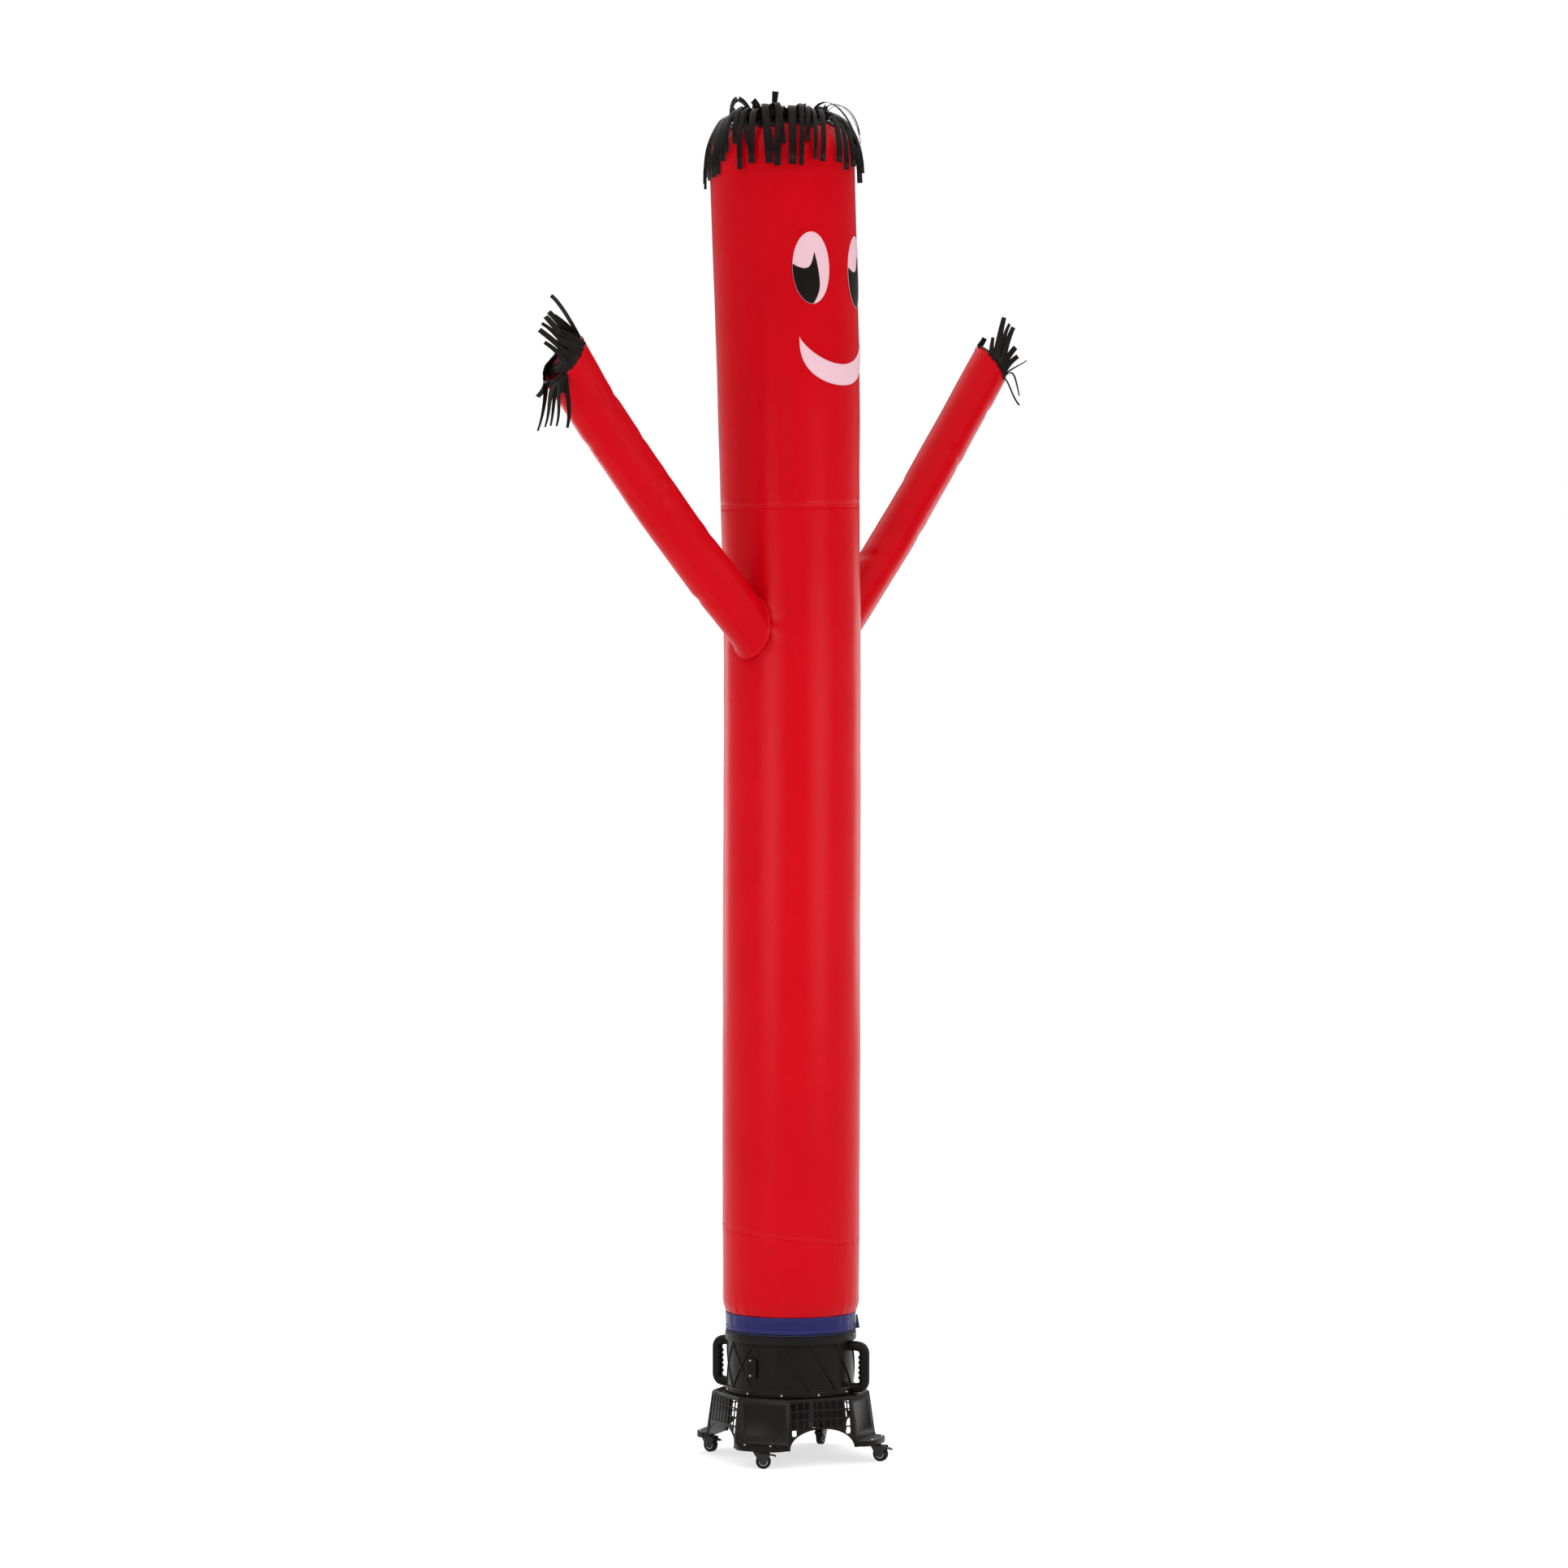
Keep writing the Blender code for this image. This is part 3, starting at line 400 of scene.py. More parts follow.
def makeGrilleTree():
    tree, given = newTree("grilleBars", {
        "Columns": 9, "Rows": 3, "Pitch Across": 0.0243, "Pitch Up": 0.0295, "Bar Width": 0.0046,
        "Bar Depth": 0.0045, "Centre Height": 0.1715, "Side Distance": 0.2450, "Lean": -0.116})
    wide = addMaths(tree, "MULTIPLY", given["Columns"], given["Pitch Across"])
    tall = addMaths(tree, "MULTIPLY", given["Rows"], given["Pitch Up"])
    shallow = addMaths(tree, "MULTIPLY", given["Bar Depth"], 0.82)
    bars = {"X": ("Columns", "Pitch Across", wide, dict(X=given["Bar Width"], Y=given["Bar Depth"], Z=tall)),
            "Z": ("Rows", "Pitch Up", tall, dict(X=wide, Y=shallow, Z=given["Bar Width"]))}
    lattice = addNode(tree, "GeometryNodeJoinGeometry")
    for axis, (count, pitch, span, size) in bars.items():
        number = addMaths(tree, "SUBTRACT", given[count], 1.0)   # the window's own rim is the outer bar
        first = addMaths(tree, "ADD", addMaths(tree, "MULTIPLY", span, -0.5), given[pitch])
        line = addNode(tree, "GeometryNodeMeshLine", {
            "Count": number, "Start Location": addVector(tree, **{axis: first}),
            "Offset": addVector(tree, **{axis: given[pitch]})}, mode="OFFSET", count_mode="TOTAL")
        cube = addNode(tree, "GeometryNodeMeshCube", {"Size": addVector(tree, **size)})
        put = addNode(tree, "GeometryNodeInstanceOnPoints", {"Points": line.outputs["Mesh"],
                                                             "Instance": cube.outputs["Mesh"]})
        tree.links.new(put.outputs["Instances"], lattice.inputs[0])
    away = addMaths(tree, "MULTIPLY", given["Side Distance"], -1.0)
    side = addNode(tree, "GeometryNodeTransform", {
        "Geometry": lattice.outputs[0], "Translation": addVector(tree, Y=away, Z=given["Centre Height"]),
        "Rotation": addVector(tree, X=given["Lean"])})
    four = addNode(tree, "GeometryNodePoints", {"Count": 4})
    index = addNode(tree, "GeometryNodeInputIndex")
    quarter = addMaths(tree, "MULTIPLY", index.outputs[0], math.pi / 2)
    allSides = addNode(tree, "GeometryNodeInstanceOnPoints", {
        "Points": four.outputs[0], "Instance": side.outputs["Geometry"],
        "Rotation": addVector(tree, Z=quarter)})
    return closeTree(tree, given, allSides.outputs["Instances"])


stitchTree, ribTree = makeStitchTree(), makeRibTree()
screwTree, grilleTree = makeScrewTree(), makeGrilleTree()

# pitch, length and thickness of each kind of stitch
stitchSizes = dict(seam=(0.0062, 0.0044, 0.0010), back=(0.0075, 0.0050, 0.0010),
                   patch=(0.0052, 0.0040, 0.0009), hair=(0.0065, 0.0046, 0.0010),
                   hand=(0.0060, 0.0044, 0.0010), cuff=(0.0056, 0.0044, 0.0011))


def linePiece(name, lines, loop):
    verts, edges = [], []
    for line in lines:
        base, n = len(verts), len(line)
        verts += [tuple(map(float, p)) for p in line]
        edges += [(base + i, base + (i + 1) % n) for i in range(n if loop else n - 1)]
    mesh = bpy.data.meshes.new(name)
    mesh.from_pydata(verts, edges, [])
    return linked(name, mesh)


def stitchRow(name, lines, finish, kind, slot, loop=True):
    pitch, length, thick = stitchSizes[kind]
    row = runTree(linePiece(name, lines, loop), stitchTree, {
        "Pitch": pitch, "Length": length, "Thick": thick, "Seed": len(name), "Finish": finish})
    return settle(row, slot)


def screws(name, spots, finish, radius, height):
    verts, faces = [], []
    for point, facing in spots:                         # one tiny face marks a screw and its direction
        n, p, base = Vector(facing).normalized(), Vector(point), len(verts)
        a = n.orthogonal().normalized() * 0.0005
        b = n.cross(a)
        verts += [tuple(v) for v in (p - a - b, p + a - b, p + a + b, p - a + b)]
        faces.append((base, base + 1, base + 2, base + 3))
    marks = meshPiece(name, verts, faces, finish)
    runTree(marks, screwTree, {"Head Radius": radius, "Head Height": height, "Finish": finish})
    return settle(smoothByAngle(marks, 30), "fork_metal")


def spotsRound(count, start, radius, z):
    ways = [bearing(start + 360.0 * k / count) for k in range(count)]
    return [(way * radius + zAxis * z, way) for way in ways]


# finishes
def newMaterial(name, colour, roughness, level, metallic=0.0):
    mat = bpy.data.materials.new(name)
    mat.use_nodes = True
    shader = mat.node_tree.nodes["Principled BSDF"]
    for label, value in (("Base Color", (*colour, 1.0)), ("Roughness", roughness), ("Metallic", metallic),
                         ("Specular IOR Level", level)):
        shader.inputs[label].default_value = value
    return mat, mat.node_tree, shader


def addMottle(tree, shader, colour, vector, scale, amount, roughness, spread=0.05):
    noise = addNode(tree, "ShaderNodeTexNoise", {"Vector": vector, "Scale": scale, "Detail": 5.0,
                                                 "Roughness": 0.55})
    shade = addRange(tree, noise.outputs["Fac"], (0.3, 0.7), (1.0 - amount, 1.0 + amount))
    tint = addNode(tree, "ShaderNodeVectorMath", {0: colour, "Scale": shade}, operation="SCALE")
    tree.links.new(tint.outputs["Vector"], shader.inputs["Base Color"])
    rough = addRange(tree, noise.outputs["Fac"], (0.3, 0.7), (roughness - spread, roughness + spread))
    tree.links.new(rough, shader.inputs["Roughness"])


def addBump(tree, shader, height, depth, distance):
    bump = addNode(tree, "ShaderNodeBump", {"Height": height, "Strength": depth, "Distance": distance})
    tree.links.new(bump.outputs["Normal"], shader.inputs["Normal"])


def ripstop(name, colour, roughness=0.24, level=0.10, thread=0.0007, cell=0.006, depth=0.10, amount=0.05):
    mat, tree, shader = newMaterial(name, colour, roughness, level)
    spot = addNode(tree, "ShaderNodeTexCoord").outputs
    addMottle(tree, shader, colour, spot["Object"], 2.6, amount, roughness)
    parts = addNode(tree, "ShaderNodeSeparateXYZ", {"Vector": spot["UV"]})
    ways = []
    for axis in ("X", "Y"):                             # fine threads, and a thicker one at each cell
        fine = addMaths(tree, "PINGPONG", parts.outputs[axis], thread / 2)
        wide = addMaths(tree, "PINGPONG", parts.outputs[axis], cell / 2)
        rib = addRange(tree, wide, (cell * 0.40, cell * 0.5), (0.0, 1.3))
        ways.append(addMaths(tree, "ADD", addMaths(tree, "MULTIPLY", fine, 0.8 / thread), rib))
    weave = addMaths(tree, "ADD", *ways)
    crease = addNode(tree, "ShaderNodeTexNoise", {"Vector": spot["Object"], "Scale": 14.0, "Detail": 3.0})
    height = addMaths(tree, "ADD", weave, addMaths(tree, "MULTIPLY", crease.outputs["Fac"], 6.0))
    addBump(tree, shader, height, depth, 0.0008)
    return mat


def moulded(name, colour, roughness=0.34, level=0.11, grain=900.0, depth=0.12, metallic=0.0):
    mat, tree, shader = newMaterial(name, colour, roughness, level, metallic)
    spot = addNode(tree, "ShaderNodeTexCoord").outputs
    addMottle(tree, shader, colour, spot["Object"], 9.0, 0.12, roughness)
    pebble = addNode(tree, "ShaderNodeTexVoronoi", {"Vector": spot["Object"], "Scale": grain})
    wear = addNode(tree, "ShaderNodeTexNoise", {"Vector": spot["Object"], "Scale": 40.0, "Detail": 8.0,
                                                "Roughness": 0.7})
    scuffs = addMaths(tree, "MULTIPLY", wear.outputs["Fac"], 0.75)
    addBump(tree, shader, addMaths(tree, "ADD", pebble.outputs["Distance"], scuffs), depth, 0.0006)
    return mat


def twill(name, colour, pitch=0.0022, roughness=0.6, level=0.2, depth=0.5):
    mat, tree, shader = newMaterial(name, colour, roughness, level)
    spot = addNode(tree, "ShaderNodeTexCoord").outputs
    addMottle(tree, shader, colour, spot["Object"], 30.0, 0.15, roughness)
    turn = addNode(tree, "ShaderNodeMapping", {"Vector": spot["UV"], "Rotation": (0.0, 0.0, 0.7)})
    rows = addNode(tree, "ShaderNodeTexWave", {"Vector": turn.outputs["Vector"], "Scale": 0.32 / pitch,
                                               "Distortion": 0.4})
    addBump(tree, shader, rows.outputs["Fac"], depth, 0.0006)
    return mat


clothColours = dict(red=(0.452, 0.0004, 0.0046), white=(0.655, 0.420, 0.475),
                    black=(0.0062, 0.0038, 0.0038), blue=(0.0135, 0.0115, 0.0830),
                    navy=(0.0060, 0.0070, 0.0200), redThread=(0.72, 0.03, 0.04),
                    whiteThread=(0.88, 0.62, 0.66), blackThread=(0.012, 0.010, 0.010),
                    blueThread=(0.075, 0.068, 0.300))
redNylon = ripstop("redNylon", clothColours["red"], level=0.075)
sleeveNylon = ripstop("sleeveNylon", clothColours["red"], roughness=0.26, level=0.045)
whiteNylon = ripstop("whiteNylon", clothColours["white"], roughness=0.30, level=0.12, amount=0.02)
blackNylon = ripstop("blackNylon", clothColours["black"], roughness=0.34, level=0.09, amount=0.15)
blueNylon = ripstop("blueNylon", clothColours["blue"], roughness=0.32, level=0.14, amount=0.08, thread=0.0009)
navyWebbing = twill("navyWebbing", clothColours["navy"])
redThread, whiteThread, blackThread, blueThread = (
    twill(name, clothColours[name], pitch=0.0008, depth=0.3)
    for name in ("redThread", "whiteThread", "blackThread", "blueThread"))
blackPlastic = moulded("blackPlastic", (0.0064, 0.0050, 0.0045))
gripPlastic = moulded("gripPlastic", (0.0040, 0.0034, 0.0031), roughness=0.46, grain=500.0, depth=0.25)
motorPaint = moulded("motorPaint", (0.008, 0.0075, 0.0075), roughness=0.5, grain=300.0, depth=0.3)
tyreRubber = moulded("tyreRubber", (0.006, 0.006, 0.006), roughness=0.62, level=0.12, grain=700.0, depth=0.2)
hubPlastic = moulded("hubPlastic", (0.36, 0.35, 0.34), roughness=0.36, level=0.25, grain=600.0, depth=0.08)
forkMetal = moulded("forkMetal", (0.007, 0.007, 0.008), roughness=0.30, level=0.3, grain=400.0, depth=0.10)
boltMetal = moulded("boltMetal", (0.46, 0.45, 0.44), roughness=0.28, level=0.5, grain=300.0, depth=0.06,
                    metallic=0.9)
print("finishes made")


# the shape of the blown-up tube
tube = dict(foot=0.4945, levelTo=0.545, seamLow=0.762, seamTilt=0.106, tiltEnd=1.50, seamHigh=3.200,
            seamGap=0.0004, shoulder=4.365, shoulderIn=0.085, shoulderUp=0.110, shoulderEnd=92.0,
            leanTo=-114.0, face=27.4, mid=0.231, footRadius=0.2192, fullRadius=0.2300, footRise=0.045,
            footTop=0.54, wobble=0.0011, pucker=0.0013, footPucker=0.0024, seamPull=0.0016,
            rootFold=0.0021, rootPull=0.0030, columns=160, wall=0.0008)
leanHeights = (0.45, 1.36, 1.90, 2.45, 2.75, 3.10, 3.32, 3.54, 3.75, 3.97, 4.24, 4.60)
leanOffsets = (0.0, -0.002, -0.003, -0.006, -0.005, 0.000, 0.004, 0.007, 0.011, 0.018, 0.027, 0.036)
wideHeights = (0.54, 1.36, 1.90, 2.45, 3.10, 3.30, 3.54, 4.00, 4.24, 4.60)
wideRadii = (0.2300, 0.2325, 0.2315, 0.2300, 0.2315, 0.2340, 0.2380, 0.2408, 0.2420, 0.2420)


def centreLean(z):
    return sum(np.interp(z + d, leanHeights, leanOffsets) for d in (-0.08, -0.04, 0.0, 0.04, 0.08)) / 5


def tubeRadius(z):
    full = sum(np.interp(z + d, wideHeights, wideRadii) for d in (-0.06, 0.0, 0.06)) / 3
    rise = np.clip((z - tube["foot"]) / tube["footRise"], 0.0, 1.0)
    low = tube["footRadius"] + (tube["fullRadius"] - tube["footRadius"]) * np.sin(rise * np.pi / 2)
    return np.where(z < tube["footTop"], low, full)


def skin(az, z, radius):
    side, leanTo = bearing(az), bearing(tube["leanTo"])
    z = np.asarray(z, float)
    slope = (centreLean(z + 0.02) - centreLean(z - 0.02)) / 0.04
    p = side * np.asarray(radius)[..., None] + leanTo * centreLean(z)[..., None]
    p[..., 2] = z - slope * radius * (side @ leanTo)
    return p


def ripple(az, turns, phase):
    return np.sin(np.radians(az) * turns + phase)


def seamPucker(az, distance, reach, seed):
    # short uneven gathers beside a sewn line
    rows = 0.5 * ripple(az, 34, seed) + 0.35 * ripple(az, 23, 2.1 * seed) + 0.35 * ripple(az, 51, 0.7 * seed)
    return rows * np.exp(-np.abs(distance) / reach) * (0.7 + 0.3 * ripple(az, 3, seed))


def tiltedHeight(az, z, tilt):
    return z + tilt * tube["mid"] * (bearing(az) @ bearing(tube["leanTo"]))


def relief(az, z):
    # how far the cloth stands out of its plain round shape
    slow = 0.55 * ripple(az, 2, 3.1 * z + 0.4) * np.sin(2.3 * z + 1.1) + 0.4 * ripple(az, 3, -2.0 * z)
    quick = 0.35 * np.sin(9.0 * z + 1.5 * ripple(az, 1, 0.6))
    quick = quick + 0.22 * np.sin(21.0 * z + 2.2 * ripple(az, 2, 1.9))
    low = z - tiltedHeight(az, tube["seamLow"], tube["seamTilt"])
    high = z - tube["seamHigh"]
    gathers = tube["pucker"] * (seamPucker(az, low, 0.022, 1.3) + seamPucker(az, high, 0.018, 2.6))
    out = tube["wobble"] * (slow + quick) + gathers
    out = out + tube["footPucker"] * seamPucker(az, z - tube["foot"] - 0.01, 0.040, 4.4)
    for near in (low, high):                            # a sewn line pulls the cloth in a little
        out = out - tube["seamPull"] * np.exp(-(near / 0.008) ** 2)
    for spec in arms.values():                          # folds run out from a sleeve's root like spokes
        across, rise = np.radians(wrapped(az - spec["az"])) * tube["mid"], z - spec["footCentre"]
        reach = np.hypot(across / spec["footWide"], rise / spec["footTall"])
        spoke = np.arctan2(rise, across)
        fold = np.cos(7 * spoke + spec["phase"]) + 0.6 * np.cos(12 * spoke + 2 * spec["phase"])
        out = out + tube["rootFold"] * fold * np.exp(-np.maximum(reach - 1, 0) * 2.6) * np.clip(reach, 0, 1)
        out = out - tube["rootPull"] * np.exp(-((reach - 1) / 0.16) ** 2)
    return out


def onTube(az, z, out=0.0):
    return skin(az, z, tubeRadius(z) + relief(az, z) + out)


# arms, placed before the tube is cut for them
arms = {
    "left": dict(az=-62.6, reach=1.130, root=2.795, end=3.612, wide=0.083, thin=0.074, roll=50.0, phase=0.7,
                 slant=(-0.860, -0.041, 0.509), shift=0.063, widen=0.018, pleat=(249.0, 0.0030, 8.5),
                 kinks=((0.89, 40, 0.0045, 0.016), (0.73, 55, 0.0050, 0.017), (0.345, 50, 0.0040, 0.020),
                        (0.56, -70, 0.0030, 0.022), (0.18, 160, 0.0034, 0.018), (0.80, 200, 0.0026, 0.020))),
    "right": dict(az=117.4, reach=1.111, root=2.761, end=3.696, wide=0.086, thin=0.0715, roll=132.0,
                  phase=2.2, slant=(0.849, -0.061, 0.520), shift=-0.015, widen=0.0,
                  pleat=(52.0, 0.0012, 14.0),
                  kinks=((0.86, 120, 0.0036, 0.016), (0.66, 60, 0.0040, 0.018), (0.42, 140, 0.0032, 0.020),
                         (0.24, -40, 0.0034, 0.018), (0.52, 230, 0.0030, 0.022))),
}
armShape = dict(rootRadius=0.222, bow=0.016, columns=56, rows=120, wall=0.0008, flare=0.006,
                rootGather=0.0017, endGather=0.0009, threadRows=(0.0075, 0.0125), threadLift=0.0003,
                wave=0.0011, fit=0.0015)

for spec in arms.values():
    out = bearing(spec["az"])
    shift = bearing(tube["leanTo"]) * centreLean(spec["root"])
    root = out * armShape["rootRadius"] + zAxis * spec["root"] + shift
    end = out * spec["reach"] + zAxis * spec["end"] + shift
    run = (end - root) / np.linalg.norm(end - root)
    flatWay = np.cross(zAxis, out)
    lift = np.cross(run, flatWay)
    lift = -lift if lift[2] < 0 else lift
    r = math.radians(spec["roll"])
    wideWay = flatWay * math.cos(r) + lift * math.sin(r)
    spec.update(rootPoint=root, endPoint=end, run=run, lift=lift, wideWay=wideWay,
                thinWay=np.cross(run, wideWay), length=float(np.linalg.norm(end - root)))


def armPoint(spec, s, a, out=0.0, share=None):
    sag = armShape["bow"] * np.sin(np.pi * np.clip(s / spec["length"], 0, 1))
    if share is None:                                   # how much of the flare at the end shows here
        share = np.clip((s - spec["length"] + 0.12) / 0.22, 0, 1)
    out = out + spec["widen"] * share * np.maximum(np.cos(a + 0.35), 0) ** 1.5
    mid = spec["rootPoint"] + spec["run"] * s[..., None] - spec["lift"] * sag[..., None]
    across = spec["wideWay"] * np.cos(a)[..., None] * (spec["wide"] + out)[..., None]
    return mid + across + spec["thinWay"] * np.sin(a)[..., None] * (spec["thin"] + out)[..., None]


def armEnd(spec, a):                                    # the sleeve is cut on a slant
    cut = np.array(spec["slant"])
    side = armPoint(spec, np.zeros_like(a), a, 0.0, 1.0) - spec["rootPoint"]
    return spec["length"] + spec["shift"] - side @ cut / (spec["run"] @ cut)


def armStart(spec, a):
    low, high = np.full(a.shape, -0.17), np.full(a.shape, 0.25)
    for _ in range(34):                                 # where the sleeve meets the tube, by halving
        mid = (low + high) / 2
        p = armPoint(spec, mid, a)
        away = np.hypot(*(p[..., :2] - bearing(tube["leanTo"])[:2] * centreLean(p[..., 2])[..., None]).T)
        inside = away < tubeRadius(p[..., 2]) - armShape["fit"]
        low, high = np.where(inside, mid, low), np.where(inside, high, mid)
    return (low + high) / 2


for spec in arms.values():
    a = fullTurn(96)
    rim = armPoint(spec, armStart(spec, a), a)
    across = np.radians(wrapped(np.degrees(np.arctan2(rim[:, 0], -rim[:, 1])) - spec["az"])) * tube["mid"]
    spec.update(footCentre=float((rim[:, 2].max() + rim[:, 2].min()) / 2), footWide=float(np.ptp(across) / 2),
                footTall=float(np.ptp(rim[:, 2]) / 2))
print("arm roots found")


def insideArm(points, share=0.90):
    hit = np.zeros(points.shape[:-1], bool)
    for spec in arms.values():
        rel = points - spec["rootPoint"]
        s = rel @ spec["run"]
        u, v = rel @ spec["wideWay"] / spec["wide"], rel @ spec["thinWay"] / spec["thin"]
        hit |= (np.hypot(u, v) < share) & (s > -0.2) & (s < 0.25)
    return hit


def tubePoints(heights, tilts):
    az = 360.0 * np.arange(tube["columns"]) / tube["columns"]
    return np.array([onTube(az, tiltedHeight(az, z, tilt)) for z, tilt in zip(heights, tilts)])


def spacing(low, high, count, edge=0.05, fine=0.0045, extra=()):
    rows = list(np.arange(low, low + edge, fine)) + list(np.linspace(low + edge, high - edge, count))
    rows += list(np.arange(high, high - edge, -fine))   # closer rows beside the seams
    for a, b, step in extra:
        rows = [z for z in rows if not a < z < b] + list(np.arange(a, b, step))
    return np.array(sorted(set(np.round(rows, 5))))


def tubePanel(name, points, width, height, change=None):
    panel = gridPiece(name, points, redNylon, True, width, height)
    if change:
        edited(panel, change)
    return thicken(panel, tube["wall"])


# lowest panel
foot, seamLow, seamHigh, gap = tube["foot"], tube["seamLow"], tube["seamHigh"], tube["seamGap"]
heights = spacing(foot, seamLow - gap, 26, edge=0.045, fine=0.0040)
tilts = np.clip((heights - tube["levelTo"]) / (seamLow - tube["levelTo"]), 0, 1) * tube["seamTilt"]
lowPanel = settle(tubePanel("lowPanel", tubePoints(heights, tilts), 1.445, 0.267), "red_nylon", "tube_lower")

# long panel, with the two holes that open into the sleeves
heights = spacing(seamLow + gap, seamHigh - gap, 76, extra=((2.55, 3.05, 0.0085),))
tilts = np.clip((tube["tiltEnd"] - heights) / (tube["tiltEnd"] - seamLow), 0, 1) * tube["seamTilt"]
longPoints = tubePoints(heights, tilts)
openWay = insideArm(longPoints.reshape(-1, 3))


def cutSleeveHoles(work):
    gone = [f for f in work.faces if all(openWay[v.index] for v in f.verts)]
    bmesh.ops.delete(work, geom=gone, context="FACES")


longPanel = tubePanel("longPanel", longPoints, 1.4546, 2.438, cutSleeveHoles)
settle(longPanel, "red_nylon", "tube_middle")


# head, rounded over to the vent
def shoulderPoint(turn, out=0.0):
    t = math.radians(turn)
    r = float(tubeRadius(np.array(tube["shoulder"]))) - tube["shoulderIn"] * (1 - math.cos(t))
    z = tube["shoulder"] + tube["shoulderUp"] * math.sin(t)
    nr, nz = math.cos(t) / tube["shoulderIn"], math.sin(t) / tube["shoulderUp"]
    size = math.hypot(nr, nz)
    return r + out * nr / size, z + out * nz / size


def shoulderRow(az, turns, outs):
    r, z = zip(*(shoulderPoint(turn, out) for turn, out in zip(turns, outs)))
    return skin(az, np.array(z), np.array(r))


heights, end = spacing(seamHigh + gap, tube["shoulder"], 92), tube["shoulderEnd"]
headRows = list(tubePoints(heights, np.zeros_like(heights)))
az = 360.0 * np.arange(tube["columns"]) / tube["columns"]
for turn in np.linspace(4, end, 24):
    gather = tube["pucker"] * seamPucker(az, np.full(az.shape, end - turn), 34, 5.2)
    gather = gather + relief(az, tube["shoulder"]) * (1 - turn / end)
    headRows.append(shoulderRow(az, np.full(az.shape, turn), gather))
headPanel = settle(tubePanel("headPanel", np.array(headRows), 1.506, 1.33), "red_nylon", "tube_head")
print("tube panels made")

# lapped seams: a narrow doubled strip with two rows of stitches
seamLap = dict(width=0.013, rise=0.0009, rowGap=0.0075, wander=0.0006, uneven=0.0004, clear=0.0002,
               wall=0.0006, threadLift=0.0012)
backLap = dict(width=0.010, rise=0.0008, step=0.012, rows=0.3, threadLift=0.0013)


def lappedSeam(name, height, tilt, hangs):
    def line(count, offset, out):
        az = 360.0 * np.arange(count) / count
        return az, tiltedHeight(az, height, tilt) + offset + seamLap["wander"] * ripple(az, 17, 1.1), out

    rows = []
    for v in np.linspace(-0.5, 0.5, 7):
        az, z, out = line(240, v * seamLap["width"], seamLap["clear"])
        uneven = seamLap["uneven"] * ripple(az, 61, 2.0) * (1 - abs(2 * v))
        rows.append(onTube(az, z, out + (seamLap["rise"] * (1 - (2 * v) ** 4) + uneven)))
    lap = gridPiece(name, np.array(rows), redNylon, True, 1.45, seamLap["width"])
    lines = [onTube(*line(480, v * seamLap["rowGap"], seamLap["threadLift"])) for v in (-0.5, 0.5)]
    hangs += [settle(thicken(lap, seamLap["wall"]), "red_nylon"),
              stitchRow(name + "Stitches", lines, redThread, "seam", "red_nylon")]


# one long seam down the back, where each panel is closed into a tube
def backSeam(name, low, high, hangs):
    z = np.arange(low, high, backLap["step"])

    def line(v, out):
        az = tube["face"] + 180.0 + math.degrees(v * backLap["width"] / tube["mid"])
        return onTube(np.full(z.shape, az), z, out)

    grid = [line(v, seamLap["clear"] + backLap["rise"] * (1 - (2 * v) ** 4))
            for v in np.linspace(-0.5, 0.5, 5)]
    strip = gridPiece(name, np.array(grid).transpose(1, 0, 2), redNylon, False, backLap["width"], high - low)
    lines = [line(v, backLap["threadLift"]) for v in (-backLap["rows"], backLap["rows"])]
    hangs += [settle(thicken(strip, seamLap["wall"]), "red_nylon"),
              stitchRow(name + "Stitches", lines, redThread, "back", "red_nylon", loop=False)]


longWith, lowWith, headWith, armWith = [], [], [], {"left": [], "right": []}
lappedSeam("seamLow", seamLow, tube["seamTilt"], longWith)
lappedSeam("seamHigh", seamHigh, 0.0, headWith)
backSeam("backSeamLow", foot + 0.004, seamLow - 0.022, lowWith)
backSeam("backSeamLong", seamLow + 0.030, seamHigh - 0.008, longWith)
backSeam("backSeamHead", seamHigh + 0.008, tube["shoulder"] - 0.002, headWith)
print("seams made")


# sleeves
def armRelief(spec, s, a):
    share = s / spec["length"]
    waves = np.sin(7.0 * s + 2 * np.sin(a + spec["phase"])) + 0.6 * np.sin(17.0 * s + 3 * np.cos(a))
    out = armShape["wave"] * waves
    for at, facing, depth, width in spec["kinks"]:      # a dent, and a lower ridge beyond it
        turn = wrapped(np.degrees(a) - facing)
        away, reach = s - (at * spec["length"] + 0.00018 * turn), np.exp(-(turn / 62.0) ** 2)
        out = out - depth * np.exp(-(away / width) ** 2) * reach
        out = out + 0.35 * depth * np.exp(-((away - 2.1 * width) / width) ** 2) * reach
    facing, rise, width = spec["pleat"]                 # one soft pleat runs along the sleeve
    turn = wrapped(np.degrees(a) - facing - 6 * np.sin(4.2 * s))
    ridge = rise * np.exp(-(turn / width) ** 2)
    out = out + ridge * np.clip(share * 5, 0, 1) * np.clip((1 - share) * 9, 0, 1)
    gather = 0.5 * np.cos(13 * a + spec["phase"]) + 0.4 * np.cos(21 * a) + 0.3 * np.cos(8 * a + 2.0)
    return out, gather


def sleeveOut(spec, s, a, near):                        # near is how far from the root it is
    wave, gather = armRelief(spec, s, a)
    out = wave * np.clip(near / 0.05, 0, 1) + armShape["flare"] * np.exp(-near / 0.010)
    return out + armShape["rootGather"] * gather * np.exp(-near / 0.045), gather


